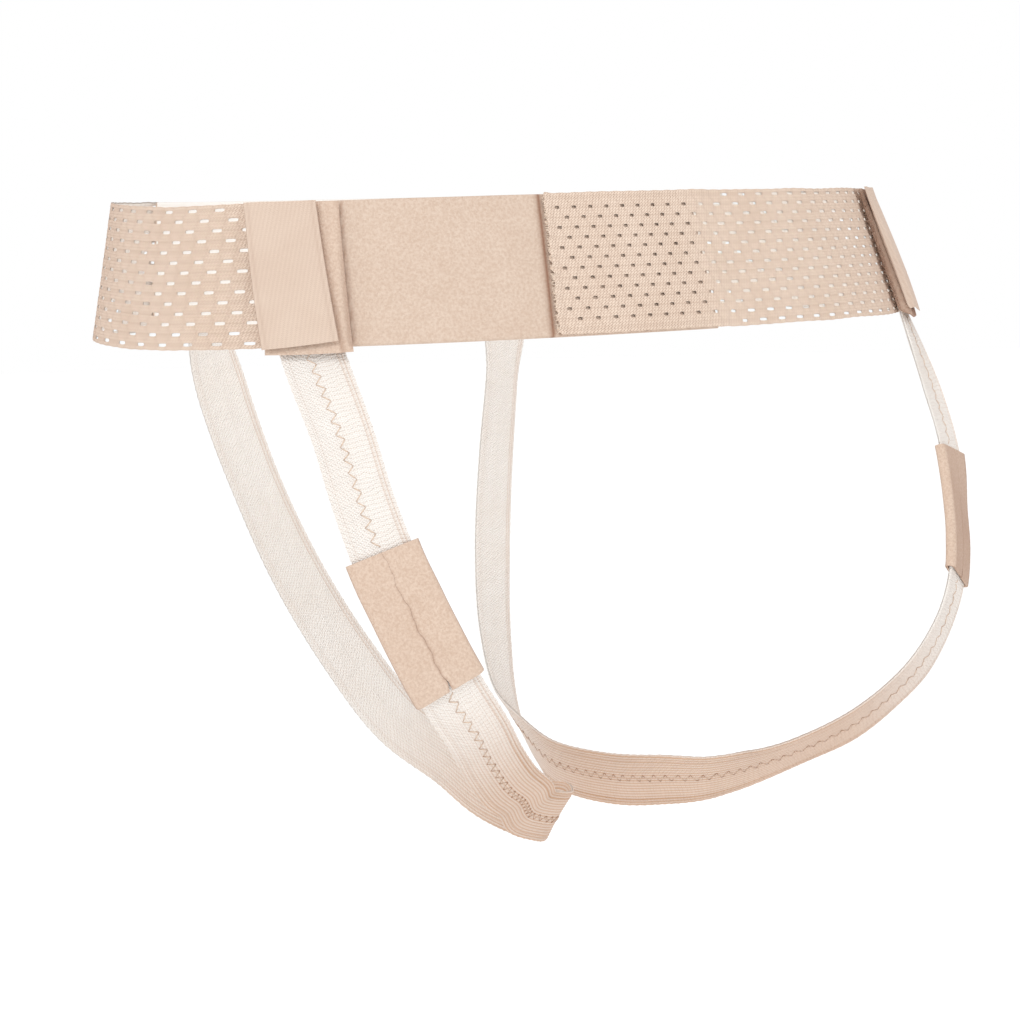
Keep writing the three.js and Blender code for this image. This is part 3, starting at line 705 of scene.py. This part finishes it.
def panel(name, start, end, seed, shade_at):
    """A panel of loop cloth along the band, with shade_at giving the painted shade on it."""
    along = edged_places(start, end, 1.2, PANEL_RIM)
    across = edged_places(BOTTOM, TOP, 1.2, PANEL_RIM)
    a, h = np.meshgrid(along, across, indexing="ij")
    relief = waves(a, h, seed, 26, 0.16) + waves(a, h, seed + 1, 3.2, 0.06)
    for height, slope in CREASES:
        crease = height + slope * (a - (start + end) / 2) + waves(a, 0 * a, seed + 2, 40, 6.0)
        comes_and_goes = smooth_step(waves(a, 0 * a, seed + 3, 60, 9.0))
        relief = relief + CREASE_HEIGHT * np.exp(-(((h - crease) / 0.5) ** 2)) * comes_and_goes
    piece = cloth(name, band_surface, along, across, PANEL_THICKNESS - 0.16, PANEL_RIM,
                  lift=-PANEL_THICKNESS / 2, relief=relief, shade=shade_at(a, h))
    return piece


def line_of_shade(distance, width):
    """A dark line in a crease: deepest at no distance, and softer on the side that faces away."""
    return np.exp(-((np.where(distance > 0, distance / width, distance / (0.4 * width))) ** 2))


def back_panel_shade(a, h):
    """The panel is in shade under the closure, beside its end and beside the left tab."""
    beside_tab = LEFT_TAB_CENTRE - TAB_WIDTH / 2 + TAB_SLANT * h / BELT_HEIGHT - slanted(a, h)
    lines = 0.95 * line_of_shade(a - MESH_END_ON_PANEL - 1.1, 1.4) + 0.45 * line_of_shade(beside_tab - 0.4, 0.9)
    return np.maximum(lines, 0.12 * (a < MESH_END_ON_PANEL))


back_panel = panel("back_panel_cloth", BACK_PANEL_RIGHT_END, PANEL_TO_MESH_JOIN, 3, back_panel_shade)
finish_piece(back_panel, "velour", "velour", "back_panel")
front_panel = panel("front_panel_cloth", FRONT_CENTRE - FRONT_PANEL_HALF_LENGTH,
                    FRONT_CENTRE + FRONT_PANEL_HALF_LENGTH, 11, no_shade)
finish_piece(front_panel, "velour", "velour", "front_panel")

# %% [markdown]
# The elastic bands are warp knitted, with a slot wherever the knitter skipped a stitch. The slots stand in
# staggered rows with two ribs between rows, and they open wide only where the band is stretched. Punching
# hundreds of holes with booleans would be slow and leave slivers, so the holes are cells left out of the two
# sheets, and the ribs are a wave in their relief.

# %% Grid of a perforated band
MESH_THICKNESS, FRONT_LAP, STEP_LENGTH = 1.6, 12.0, 12.0
LAP_OFFSET = CLEARANCE + MESH_THICKNESS
BACK_LAP_OFFSET = 0.8
LEFT_BAND_START = PANEL_TO_MESH_JOIN + CLEARANCE
LEFT_BAND_END = FRONT_CENTRE - FRONT_PANEL_HALF_LENGTH + FRONT_LAP
KNIT_THICKNESS = 0.6
SLOT_ROWS, ROW_STEP, SLOT_HEIGHT = 14, 3.55, 1.2
RIB_HEIGHT, SELVEDGE = 0.12, 0.4


def left_band_offset(along):
    """The band steps out where its front end laps over the front panel."""
    start = FRONT_CENTRE - FRONT_PANEL_HALF_LENGTH - STEP_LENGTH - CLEARANCE
    return LAP_OFFSET * smooth_step((along - start) / STEP_LENGTH)


def right_band_offset(along):
    """The right band steps out at both ends: over the front panel, and over the back panel at the closure."""
    start = BACK_PANEL_RIGHT_END - STEP_LENGTH - CLEARANCE
    return np.maximum(left_band_offset(-along), BACK_LAP_OFFSET * smooth_step((along - start) / STEP_LENGTH))


def band_rows():
    """Heights of the grid's rows, and for each cell between them its slot row, or -1 for a rib."""
    heights, slot_row = [BOTTOM, BOTTOM + SELVEDGE], [-1]
    for row in range(SLOT_ROWS):
        centre = (row - (SLOT_ROWS - 1) / 2) * ROW_STEP
        heights += [centre - SLOT_HEIGHT / 2, centre, centre + SLOT_HEIGHT / 2]
        slot_row += [-1, row, row]
        if row < SLOT_ROWS - 1:
            heights += [centre + SLOT_HEIGHT / 2 + k * (ROW_STEP - SLOT_HEIGHT) / 4 for k in (1, 2, 3)]
            slot_row += [-1, -1, -1]
    return np.array(heights + [TOP - SELVEDGE, TOP]), np.array(slot_row + [-1, -1])


def band_columns(start, end, pitch_at, per_pitch):
    """Places of the grid's columns from start to end, closer where the slots are closer."""
    places = [start]
    while places[-1] < end:
        places.append(places[-1] + pitch_at(places[-1]) / per_pitch)
    places = np.array(places)
    return start + (places - start) * (end - start) / (places[-1] - start)


# %% [markdown]
# One function knits both bands. It marks the cells that fall in a slot, rounds the slots' corners, and moves the
# ends of the band in and out a little, because a cut end of elastic never is a straight line.

# %% Perforated bands
CORNER_DRAW, UNCUT_CELLS = 0.12, 5


def perforated_band(name, start, end, pitch_at, open_at, offset_at, shade_at, per_pitch, seed):
    """A band with slots. Pitch, opening, offset and shade are given by functions of the place along it."""
    along = band_columns(start, end, pitch_at, per_pitch)
    across, slot_row = band_rows()
    row = np.maximum(slot_row, 0)
    column = np.arange(len(along) - 1)[:, None] + (row % 2 * per_pitch // 2)[None, :]
    middle = (along[:-1] + along[1:]) / 2
    width = open_at(middle[:, None], row[None, :]) * per_pitch
    holes = (column % per_pitch < np.round(width)) & (slot_row >= 0)[None, :]
    holes[:UNCUT_CELLS] = holes[-UNCUT_CELLS:] = False
    a, h = np.meshgrid(along, across, indexing="ij")

    # a slot's corners are drawn in towards its middle, which rounds its ends
    padded = np.pad(holes, 1)
    around = padded[:-1, :-1].astype(int) + padded[1:, :-1] + padded[:-1, 1:] + padded[1:, 1:]
    above, below = padded[1:, 1:] | padded[:-1, 1:], padded[1:, :-1] | padded[:-1, :-1]
    inward = np.where(above, CORNER_DRAW, 0) - np.where(below, CORNER_DRAW, 0)
    draw = np.where(around == 1, inward, 0) * SLOT_HEIGHT

    phase = h / ROW_STEP + SLOT_ROWS / 2 - 0.5
    valley = np.cos(2 * np.pi * phase)
    ribs = RIB_HEIGHT * (0.5 * np.cos(2 * np.pi * 2 * (phase - 0.25)) - 0.35 * valley)
    relief = ribs + waves(a, h, seed, 9, 0.1) - 0.08
    edge = np.clip((np.abs(h) - TOP + 3) / 3, 0, 1)
    edge_wave = np.sign(h) * edge * (0.08 * np.sin(a * 2 * np.pi / 6.2) + waves(a, 0 * a, seed + 5, 30, 0.3) - 0.1)

    def surface(a, h, offset):
        ends = np.clip(1 - np.minimum(a - start, end - a) / 3, 0, 1)
        scallop = ends * (0.2 * valley + waves(0 * h, h, seed + 7, 2.6, 1.2)) * np.where(a > (start + end) / 2, 1, -1)
        return band_point(slanted(a + scallop, h), h + draw + edge_wave, offset + offset_at(a))

    # the painted shade along the fine rows of slots, and at the seams beside each slot
    slot_line = np.exp(-(((phase - np.round(phase)) * ROW_STEP / 0.5) ** 2))
    block = (np.arange(len(along))[:, None] + (np.round(phase) % 2 * per_pitch // 2)) % per_pitch
    seam = np.isin(block, (0, round(0.4 * per_pitch)))
    shade = shade_at(a, h) + 0.12 * slot_line + 0.14 * seam * (1 - slot_line)
    piece = cloth(name, surface, along, across, KNIT_THICKNESS - 0.12, 0.6, lift=-KNIT_THICKNESS / 2,
                  relief=relief, under=ribs * 0.5 - 0.05, holes=holes, shade=np.clip(shade, 0, 1))
    return piece


# %% [markdown]
# The left band is stretched evenly round the hip, so its slots keep one pitch. The hook tab that lies on its back
# end leaves a soft line of painted shade on it.

# %% Left band
HOOK_WIDTH, LEFT_HOOK_SHIFT, LEFT_HOOK_SLANT, RIGHT_HOOK_SHIFT = 24.8, 5.0, 9.0, -2.0
LEFT_PITCH, LEFT_OPENING, LEFT_BAND_SHADE = 12.3, 0.35, 0.06


def left_band_shade(a, h):
    """The band is a little darker all over, with a line of painted shade beside the left hook tab."""
    hidden = LEFT_TAB_CENTRE + LEFT_HOOK_SHIFT + HOOK_WIDTH / 2 + LEFT_HOOK_SLANT * h / BELT_HEIGHT
    return LEFT_BAND_SHADE + 0.5 * line_of_shade(slanted(a, h) - hidden + 0.3, 1.3)


left_band = perforated_band("left_band_cloth", LEFT_BAND_START, LEFT_BAND_END, lambda along: LEFT_PITCH,
                            lambda along, row: LEFT_OPENING, left_band_offset, left_band_shade, 12, 21)
finish_piece(left_band, "mesh", "mesh", "left_mesh_band")

# %% [markdown]
# The right band is stretched round its hip as well, but its loose end is pressed on the back panel nearly at rest.
# There the slots stand closer and hardly open, and the outermost rows stay shut.

# %% Right band
RIGHT_PITCH, PITCH_DROP, PITCH_CHANGE_START, PITCH_CHANGE_LENGTH = 10.2, 3.0, -22, 40
RIGHT_OPENING, OPENING_DROP, OPENING_CHANGE_START, OPENING_CHANGE_LENGTH = 0.38, 0.1, -24, 16
CLOSURE_CURL, CLOSURE_CURL_LENGTH = 0.8, 6


def right_pitch(along):
    """Stretched round the hip, and nearly at rest where the band lies on the back panel."""
    return RIGHT_PITCH - PITCH_DROP * float(smooth_step((along - PITCH_CHANGE_START) / PITCH_CHANGE_LENGTH))


def right_opening(along, row):
    """On the panel the slots are short, and the two outermost rows are closed."""
    on_panel = smooth_step((along - OPENING_CHANGE_START) / OPENING_CHANGE_LENGTH)
    outer_row = (row == 0) | (row == SLOT_ROWS - 1)
    return (RIGHT_OPENING - OPENING_DROP * on_panel) * np.where(outer_row & (on_panel > 0.5), 0, 1)


def right_band_shade(a, h):
    """The band is in shade beside the right tab."""
    beside_tab = slanted(a, h) + RIGHT_TAB_CENTRE - TAB_WIDTH / 2 + TAB_SLANT * h / BELT_HEIGHT
    return 0.6 * line_of_shade(beside_tab - 0.6, 1.6)


def closure_offset(along):
    """The loose end of the closure curls off the panel a little."""
    curl = smooth_step((along - MESH_END_ON_PANEL + CLOSURE_CURL_LENGTH) / CLOSURE_CURL_LENGTH) ** 2
    return right_band_offset(along) + CLOSURE_CURL * curl


right_band = perforated_band("right_band_cloth", -LEFT_BAND_END, MESH_END_ON_PANEL, right_pitch, right_opening,
                             closure_offset, right_band_shade, 8, 31)
finish_piece(right_band, "mesh", "mesh", "right_mesh_band")

# %% [markdown]
# Where the loose end was cut, the elastic's threads fray. Hundreds of hairs from a particle system would be slow to
# export, so a hundred or so short tubes stand in one mesh.

# %% Frayed end of the closure
def fringe_fibre(first, second, third, fourth):
    """A cut end of elastic that sticks out of the closure's raw end."""
    height = BOTTOM + 0.5 + first * (BELT_HEIGHT - 1)
    offset = BACK_LAP_OFFSET - KNIT_THICKNESS / 2 + 0.7 + 0.3 * second
    out = np.array([-0.6, 0.15, 0.5 + 0.5 * third])
    along = slanted(MESH_END_ON_PANEL + out, height)
    return band_point(along, height + (fourth - 0.5) * np.array([0, 0.3, 1.1]), offset + 0.2 * out)


finish_piece(fuzz("closure_fringe", fringe_fibre, 130, 0.09, 91, 0.0), "thread", "mesh")

# %% [markdown]
# At each hip a brushed tab folds over the end of a thigh strap, and a smooth hook tab is pressed on top of it.
# Both are flat strips on a curved hip, so their sides stand a little off the band and leave a soft dark groove.

# %% Shape of a tab
TAB_BOW, TAB_THICKNESS, HOOK_THICKNESS, TAB_RIM = 1.0, 2.2, 1.6, 0.9
TAB_TOP, TAB_BOTTOM, TAB_FLARE = TOP - 1.0, BOTTOM - 3.6, 0.8
HOOK_TAPER, HOOK_DIP, HOOK_BOTTOM = 0.1, 1.1, BOTTOM - 1.2
STRAP_POCKET = STRAP_THICKNESS + STRAP_BOW + 2 * CLEARANCE
POCKET_TOP, POCKET_SLOPE = BOTTOM + STRAP_TUCK + CLEARANCE, 30.0
PRESS_START, PRESS_LENGTH, PRESS_FADE = 11.2, 2.3, 5
BROAD = dict(shift=0, width=TAB_WIDTH, slant=TAB_SLANT, taper=0, bottom=TAB_BOTTOM, dip=0, base=0,
             thickness=TAB_THICKNESS, seed=41, rough=0.06, press=1.0)
HOOKED = dict(width=HOOK_WIDTH, taper=HOOK_TAPER, bottom=HOOK_BOTTOM, dip=HOOK_DIP, base=TAB_THICKNESS + CLEARANCE,
              thickness=HOOK_THICKNESS, seed=51, rough=0.02, press=0.6)


def tab_offset(height):
    """How far a tab stands off the band: enough for the strap that is tucked under it, and less above it."""
    share = np.clip((POCKET_TOP + POCKET_SLOPE - height) / POCKET_SLOPE, 0, 1)
    flare = TAB_FLARE * np.maximum(0, (POCKET_TOP - height) / (POCKET_TOP - TAB_BOTTOM))
    return CLEARANCE + (STRAP_POCKET - CLEARANCE) * share + flare


def tab_strip(name, side, centre, shift, width, slant, taper, bottom, dip, base, thickness, seed, rough, press,
              shade_at):
    """A tab on a hip, with its back edge pressed down on the band by the share that press gives."""
    along = edged_places(-width / 2, width / 2, 0.7, TAB_RIM)
    across = edged_places(0, 1, 0.014, TAB_RIM / BELT_HEIGHT)

    def surface(a, s, offset):
        low = bottom - dip * 2 * a / width
        height = low + (TAB_TOP - low) * s
        level = height / BELT_HEIGHT
        place = centre + shift + a * (1 + taper * level) + slant * level
        from_middle = place - centre - TAB_SLANT * level
        bow = TAB_BOW * np.minimum(1, (2 * from_middle / TAB_WIDTH) ** 2)
        at_edge = smooth_step((-from_middle - PRESS_START) / PRESS_LENGTH)
        pressed = press * at_edge * smooth_step((height - TAB_BOTTOM) / PRESS_FADE)
        off = (tab_offset(height) + bow) * (1 - pressed) + CLEARANCE * pressed
        return band_point(side * place, height, off + base + offset)

    a, s = np.meshgrid(along, across, indexing="ij")
    relief = waves(a, s * BELT_HEIGHT, seed, 22, 0.1) + waves(a, s * BELT_HEIGHT, seed + 1, 2.4, rough)
    piece = cloth(name, surface, along, across, thickness - 0.14, TAB_RIM, lift=thickness / 2, relief=relief,
                  shade=shade_at(a, s))

    # the places across a tab run from 0 to 1, so its UV is stretched to the millimetres of the other cloths
    uv = piece.data.uv_layers["Cloth"].data
    values = np.empty(len(uv) * 2, np.float32)
    uv.foreach_get("uv", values)
    values = values.reshape(-1, 2)
    values[:, 1] = 0.5 + (values[:, 1] - 0.5) * BELT_HEIGHT
    uv.foreach_set("uv", values.ravel())
    return piece


# %% [markdown]
# A hook tab hides most of the brushed tab below it, and throws shade on the rest. The shade is a value on the
# points of the cloth, because the soft contact shadow of two layers that touch is finer than one lamp can draw.

# %% Tabs at the hips
def groove_shade(a, s):
    """The under tab is in shade in the groove beside the hook tab, and at its pressed edge."""
    hook_edge = LEFT_HOOK_SHIFT - HOOK_WIDTH / 2 + (LEFT_HOOK_SLANT - TAB_SLANT) * (s - 0.5)
    return 0.4 * line_of_shade(hook_edge - a - 0.1, 1.2) + 0.12 * smooth_step((-a - 11.8) / 1.5)


def edge_shade(a, s):
    """Only the pressed edge of the right tab shows, and it is in the shade of the hook tab."""
    return 0.3 * smooth_step((-a - 10.4) / 1.2) + 0.3 * smooth_step((-a - 12.6) / 0.8)


def hook_shade(a, s):
    """A faint dark line along the sides of the hook tab, and darker cut edges."""
    from_side = HOOK_WIDTH / 2 - np.abs(a)
    return 0.12 * np.exp(-(((from_side - 1.6) / 0.5) ** 2)) + 0.3 * (np.abs(a) > HOOK_WIDTH / 2 - 0.1)


for name, side, centre, shift, slant, shade_at in (
        ("left", 1, LEFT_TAB_CENTRE, LEFT_HOOK_SHIFT, LEFT_HOOK_SLANT, groove_shade),
        ("right", -1, RIGHT_TAB_CENTRE, RIGHT_HOOK_SHIFT, TAB_SLANT, edge_shade)):
    tab = tab_strip(f"{name}_tab_cloth", side, centre, shade_at=shade_at, **BROAD)
    finish_piece(tab, "tab", "tab", f"{name}_strap_tab")
    hook = tab_strip(f"{name}_hook_cloth", side, centre, shift=shift, slant=slant, shade_at=hook_shade, **HOOKED)
    finish_piece(hook, "hook", "hook", f"{name}_hook_tab")

# %% [markdown]
# The back edge of the right tab is rough with pile and lies in painted shade. Short fibres stand along it, made like
# the frayed end.

# %% Pile at the edge of the right tab
def right_edge_fibre(first, second, third, fourth):
    """A fibre of brushed pile at the back edge of the right tab, darkened with painted shade."""
    height = BOTTOM + 0.5 + first * (BELT_HEIGHT - 2)
    out = np.array([0.3, 1.0, 1.6 + 1.6 * second])
    along = -RIGHT_TAB_CENTRE - TAB_SLANT * height / BELT_HEIGHT + TAB_WIDTH / 2 + out
    root = 0.6 + 1.8 * third
    return band_point(along, height + (fourth - 0.5) * 0.9 * out, root + np.array([0, 0.3, -0.1 * root]))


# the fibres carry painted shade, as they stand in the shade of the tab's edge
finish_piece(fuzz("right_tab_pile", right_edge_fibre, 260, 0.08, 93, 0.45), "tab", "tab")

# %% [markdown]
# The thigh straps are knitted elastic: cream, with firm cords along both edges and a softer middle. The cords
# are relief across the strap. The fine knit between them is too small for a mesh, so it is left to the bump.

# %% Thigh straps
STRAP_RIM = 0.7
CORD_PITCH = 1.15
EDGE_GROOVES, FAINT_GROOVE = (-8.2, -9.5), 8.6
CROTCH_START, CROTCH_RISE, CROTCH_END, CROTCH_FALL = 135, 80, 400, 90


def strap_relief(across):
    """Shallow lengthwise wales, firmer near the edges, and two grooves beside the edge cord."""
    from_edge = STRAP_WIDTH / 2 - np.abs(across)
    wales = (0.04 + 0.08 * np.exp(-((from_edge / 4.5) ** 4))) * np.cos(2 * np.pi * from_edge / CORD_PITCH)
    grooves = sum(np.exp(-(((across - at) / 0.3) ** 2)) for at in EDGE_GROOVES)
    return wales - 0.22 * grooves


def crotch_share(along):
    """From 0 to 1 where the strap passes the crotch: there it turns tan, partly as painted shade under the legs and
    partly because it is stretched less and its own tan shows.
    """
    return smooth_step((along - CROTCH_START) / CROTCH_RISE) * smooth_step((CROTCH_END - along) / CROTCH_FALL)


def thigh_strap(side, route):
    """The strap of one side, from its tuck under the tab to its front end."""
    along = edged_places(0, route["length"], 1.2, STRAP_RIM)
    across = edged_places(-STRAP_WIDTH / 2, STRAP_WIDTH / 2, CORD_PITCH / 3.5, STRAP_RIM)
    a, x = np.meshgrid(along, across, indexing="ij")
    relief = strap_relief(x) + waves(a, x, 61, 14, 0.1) - 0.12
    round_crotch = crotch_share(a)
    marks = [(at, 1) for at in EDGE_GROOVES] + [(FAINT_GROOVE, 0.4)]
    cord_lines = sum(share * np.exp(-(((x - at) / 0.35) ** 2)) for at, share in marks)
    valleys = np.clip(-np.cos(2 * np.pi * (STRAP_WIDTH / 2 - np.abs(x)) / CORD_PITCH), 0, 1)

    def surface(a, x, offset):
        ripple = 0.12 * np.sin(a * 2 * np.pi / 3.4) * np.exp(-(((STRAP_WIDTH / 2 - np.abs(x)) / 1.2) ** 2))
        wide = (x + np.sign(x) * (ripple - 0.12)) * strap_ease(route, a)
        return strap_point(route, a, wide, offset)

    # painted shade in the edge grooves and between the wales, and a darker tan round the crotch that is partly painted
    # shade
    shade = 0.5 * round_crotch + 0.3 * cord_lines + (0.05 + 0.5 * round_crotch) * valleys
    piece = cloth(f"{side}_strap_cloth", surface, along, across, STRAP_THICKNESS, STRAP_RIM, relief=relief,
                  under=relief, shade=np.clip(shade, 0, 1))
    finish_piece(piece, "strap", "strap", f"{side}_thigh_strap")


for side, route in ROUTES.items():
    thigh_strap(side, route)

# %% [markdown]
# A sleeve is a strip of brushed cloth folded round the strap so that its two edges meet in a seam down the
# outer face. It is built as one long cross-section that runs round the strap and stops at the seam on both
# sides, so the seam is a real slit. Its lips touch, wander a little, and part at the lower end.

# %% Sleeves on the straps
SLEEVE_LENGTH, SLEEVE_WIDTH, SLEEVE_WALL = 52.5, 26.8, 1.1
SLEEVE_PLACES = {"left": 77.0, "right": 60.5}
SLEEVE_RIM = 0.04
SEAM_SLIT, SEAM_GAPE, GAPE_LENGTH = 0.12, 0.5, 7


def sleeve_ring(width, half_height, slit):
    """The middle of the sleeve's wall, from one side of the seam round the strap to the other."""
    flat = width / 2 - half_height
    turn = np.linspace(np.pi / 2, -np.pi / 2, 11)
    right = np.stack([flat + half_height * np.cos(turn), half_height * np.sin(turn)], 1)
    top = np.stack([np.linspace(slit, flat, 9)[:-1], np.full(8, half_height)], 1)
    base = np.stack([np.linspace(flat, -flat, 18)[1:-1], np.full(16, -half_height)], 1)
    left = right[::-1] * [-1, 1]
    return np.concatenate([top, right, base, left, (top * [-1, 1])[::-1]])


def sleeve(side, route, place):
    """The sleeve on the strap of one side, which starts at a place below the tuck."""
    half_height = STRAP_THICKNESS / 2 + CLEARANCE + SLEEVE_WALL / 2
    start = STRAP_TUCK + place
    along = edged_places(start, start + SLEEVE_LENGTH, 1.1, SLEEVE_RIM)
    ring = sleeve_ring(SLEEVE_WIDTH - SLEEVE_WALL, half_height, SEAM_SLIT)
    steps = np.concatenate([[0], np.cumsum(np.linalg.norm(np.diff(ring, axis=0), axis=1))])
    round_it = edged_places(0, steps[-1], 0.9, SLEEVE_RIM)

    def surface(a, r, offset):
        x, y = (np.interp(r, steps, ring[:, k]) for k in range(2))
        before, after = (np.stack([np.interp(r + d, steps, ring[:, k]) for k in range(2)], -1) for d in (-0.3, 0.3))
        ahead = unit(after - before)
        parting = smooth_step((a - start - SLEEVE_LENGTH + GAPE_LENGTH) / GAPE_LENGTH) ** 2
        gape = SEAM_GAPE * parting - SEAM_SLIT
        near_seam = np.exp(-((np.minimum(r, steps[-1] - r) / 4) ** 2))
        wander = 0.35 * np.sin(a / 2.3) + 0.2 * np.sin(a / 0.9)
        x = x + (np.sign(steps[-1] / 2 - r) * gape + wander) * near_seam - ahead[..., 1] * offset
        y = y + ahead[..., 0] * offset
        return strap_point(route, a, x, y)

    a, r = np.meshgrid(along, round_it, indexing="ij")
    relief = waves(a, r, 71, 17, 0.1) + waves(a, r, 72, 2.2, 0.05)
    from_seam = np.minimum(r, steps[-1] - r)
    # painted shade along the closed seam, growing towards the lower end of the sleeve
    seam_shade_share = smooth_step((a - start - 8) / 20)
    piece = cloth(f"{side}_sleeve_cloth", surface, along, round_it, SLEEVE_WALL - 0.12, SLEEVE_RIM, relief=relief,
                  shade=(0.08 + 0.22 * seam_shade_share) * np.exp(-((from_seam / 0.45) ** 2)))
    finish_piece(piece, "tab", "tab", f"{side}_strap_sleeve")


for side, route in ROUTES.items():
    sleeve(side, route, SLEEVE_PLACES[side])

# %% [markdown]
# A wandering zigzag runs down the middle of each strap. It is one thread that crosses over the cloth and dips
# in at each turn, so its height follows its place in the zigzag.

# %% Zigzag stitching
STITCH_LENGTH, STITCH_HALF_WIDTH, THREAD_RADIUS = 4.8, 1.35, 0.19
STITCH_END = 26


def zigzag(route, start, end, seed):
    """A zigzag of thread along a strap, from start to end."""
    rng = np.random.default_rng(seed)
    turns = np.arange(start, end, STITCH_LENGTH / 2)
    along = turns + rng.uniform(-0.12, 0.12, len(turns)) * STITCH_LENGTH / 2
    across = np.where(np.arange(len(turns)) % 2, 1, -1) * STITCH_HALF_WIDTH * rng.uniform(0.85, 1.15, len(turns))
    t = np.linspace(0, len(turns) - 1, (len(turns) - 1) * 6 + 1)
    a = np.interp(t, np.arange(len(turns)), along)
    x = np.interp(t, np.arange(len(turns)), across)
    dip = np.abs(np.sin(np.pi * t)) ** 0.5
    # painted shade where the thread dips into the cloth, deeper round the crotch
    shade = 0.1 + 0.15 * crotch_share(a) + (0.5 + 0.5 * crotch_share(a)) * (1 - dip) ** 0.5
    height = STRAP_THICKNESS / 2 - 0.1 + THREAD_RADIUS * (1.5 * dip - 0.9)
    line = strap_point(route, a, (x + STITCH_PLACE) * strap_ease(route, a), height)
    return tube(line, THREAD_RADIUS, 5, shade)


for side, route in ROUTES.items():
    sleeve_start = STRAP_TUCK + SLEEVE_PLACES[side]
    stretches = ((STRAP_TUCK + 3, sleeve_start - 1), (sleeve_start + SLEEVE_LENGTH + 1, route["length"] - STITCH_END))
    parts = [zigzag(route, low, high, 81 + k) for k, (low, high) in enumerate(stretches)]
    finish_piece(joined(f"{side}_strap_stitches", parts), "thread", "strap")

# %% [markdown]
# The studio is a pale floor far below the belt and an even white surround, which is how such a catalogue
# picture is lit. One broad soft light from behind the camera's shoulder gives the cloth its shape.

# %% Floor, surround and light
FLOOR_HEIGHT, FLOOR_RADIUS = -0.42, 9.0
LIGHT_PLACE, LIGHT_AIM, LIGHT_SIZE, LIGHT_POWER = Vector((1.3, 1.0, 1.5)), Vector((0, 0, -0.08)), 1.0, 10.0


def build_floor():
    """A wide pale disc that glows a little, so that it stays white under the belt."""
    bpy.ops.mesh.primitive_circle_add(vertices=96, radius=FLOOR_RADIUS, fill_type="NGON",
                                      location=(0, 0, FLOOR_HEIGHT))
    floor = bpy.context.object
    floor.name = "studio_floor"
    material = bpy.data.materials.new("Pale floor")
    material.use_nodes = True
    shader = material.node_tree.nodes["Principled BSDF"]
    shader.inputs["Base Color"].default_value = paint(244, 244, 244)
    shader.inputs["Roughness"].default_value = 0.9
    shader.inputs["Emission Color"].default_value = (1, 1, 1, 1)
    shader.inputs["Emission Strength"].default_value = 0.16
    floor.data.materials.append(material)


build_floor()
world = bpy.data.worlds.new("White surround")
world.use_nodes = True
world.node_tree.nodes["Background"].inputs[0].default_value = (1, 1, 1, 1)
world.node_tree.nodes["Background"].inputs[1].default_value = 1.0
bpy.context.scene.world = world

light = bpy.data.lights.new("key", "AREA")
light.shape, light.size, light.energy = "DISK", LIGHT_SIZE, LIGHT_POWER
lamp = bpy.data.objects.new("key", light)
bpy.context.scene.collection.objects.link(lamp)
lamp.location = LIGHT_PLACE
lamp.rotation_euler = (LIGHT_AIM - LIGHT_PLACE).to_track_quat("-Z", "Y").to_euler()
print("light", LIGHT_POWER, "W,", LIGHT_SIZE, "m across")

# %% [markdown]
# The camera stands behind the wearer's left hip, a little above the middle of the belt, with a long lens that
# keeps the straps from looking bent. Its place and its three directions were solved from the band's edges.

# %% Camera
IMAGE_WIDTH, SENSOR_WIDTH, FOCAL_PIXELS = 1020, 36.0, 2940.136
CAMERA_PLACE = Vector((0.73068, 0.88776, 0.01152))
CAMERA_RIGHT = Vector((-0.7722, 0.6349, -0.0247))
CAMERA_AHEAD = Vector((-0.6310, -0.7702, -0.0933))
camera_data = bpy.data.cameras.new("camera")
camera_data.sensor_width = SENSOR_WIDTH
camera_data.lens = FOCAL_PIXELS * SENSOR_WIDTH / IMAGE_WIDTH
camera_data.clip_start, camera_data.clip_end = 0.05, 50
camera = bpy.data.objects.new("camera", camera_data)
bpy.context.scene.collection.objects.link(camera)
ahead = CAMERA_AHEAD.normalized()
right = (CAMERA_RIGHT - ahead * CAMERA_RIGHT.dot(ahead)).normalized()
up = right.cross(ahead)
turn = Matrix((right, up, -ahead)).transposed()
camera.matrix_world = Matrix.Translation(CAMERA_PLACE) @ turn.to_4x4()
bpy.context.scene.camera = camera
bpy.context.scene.view_settings.view_transform = "Standard"
print("lens", round(camera_data.lens, 1), "mm")
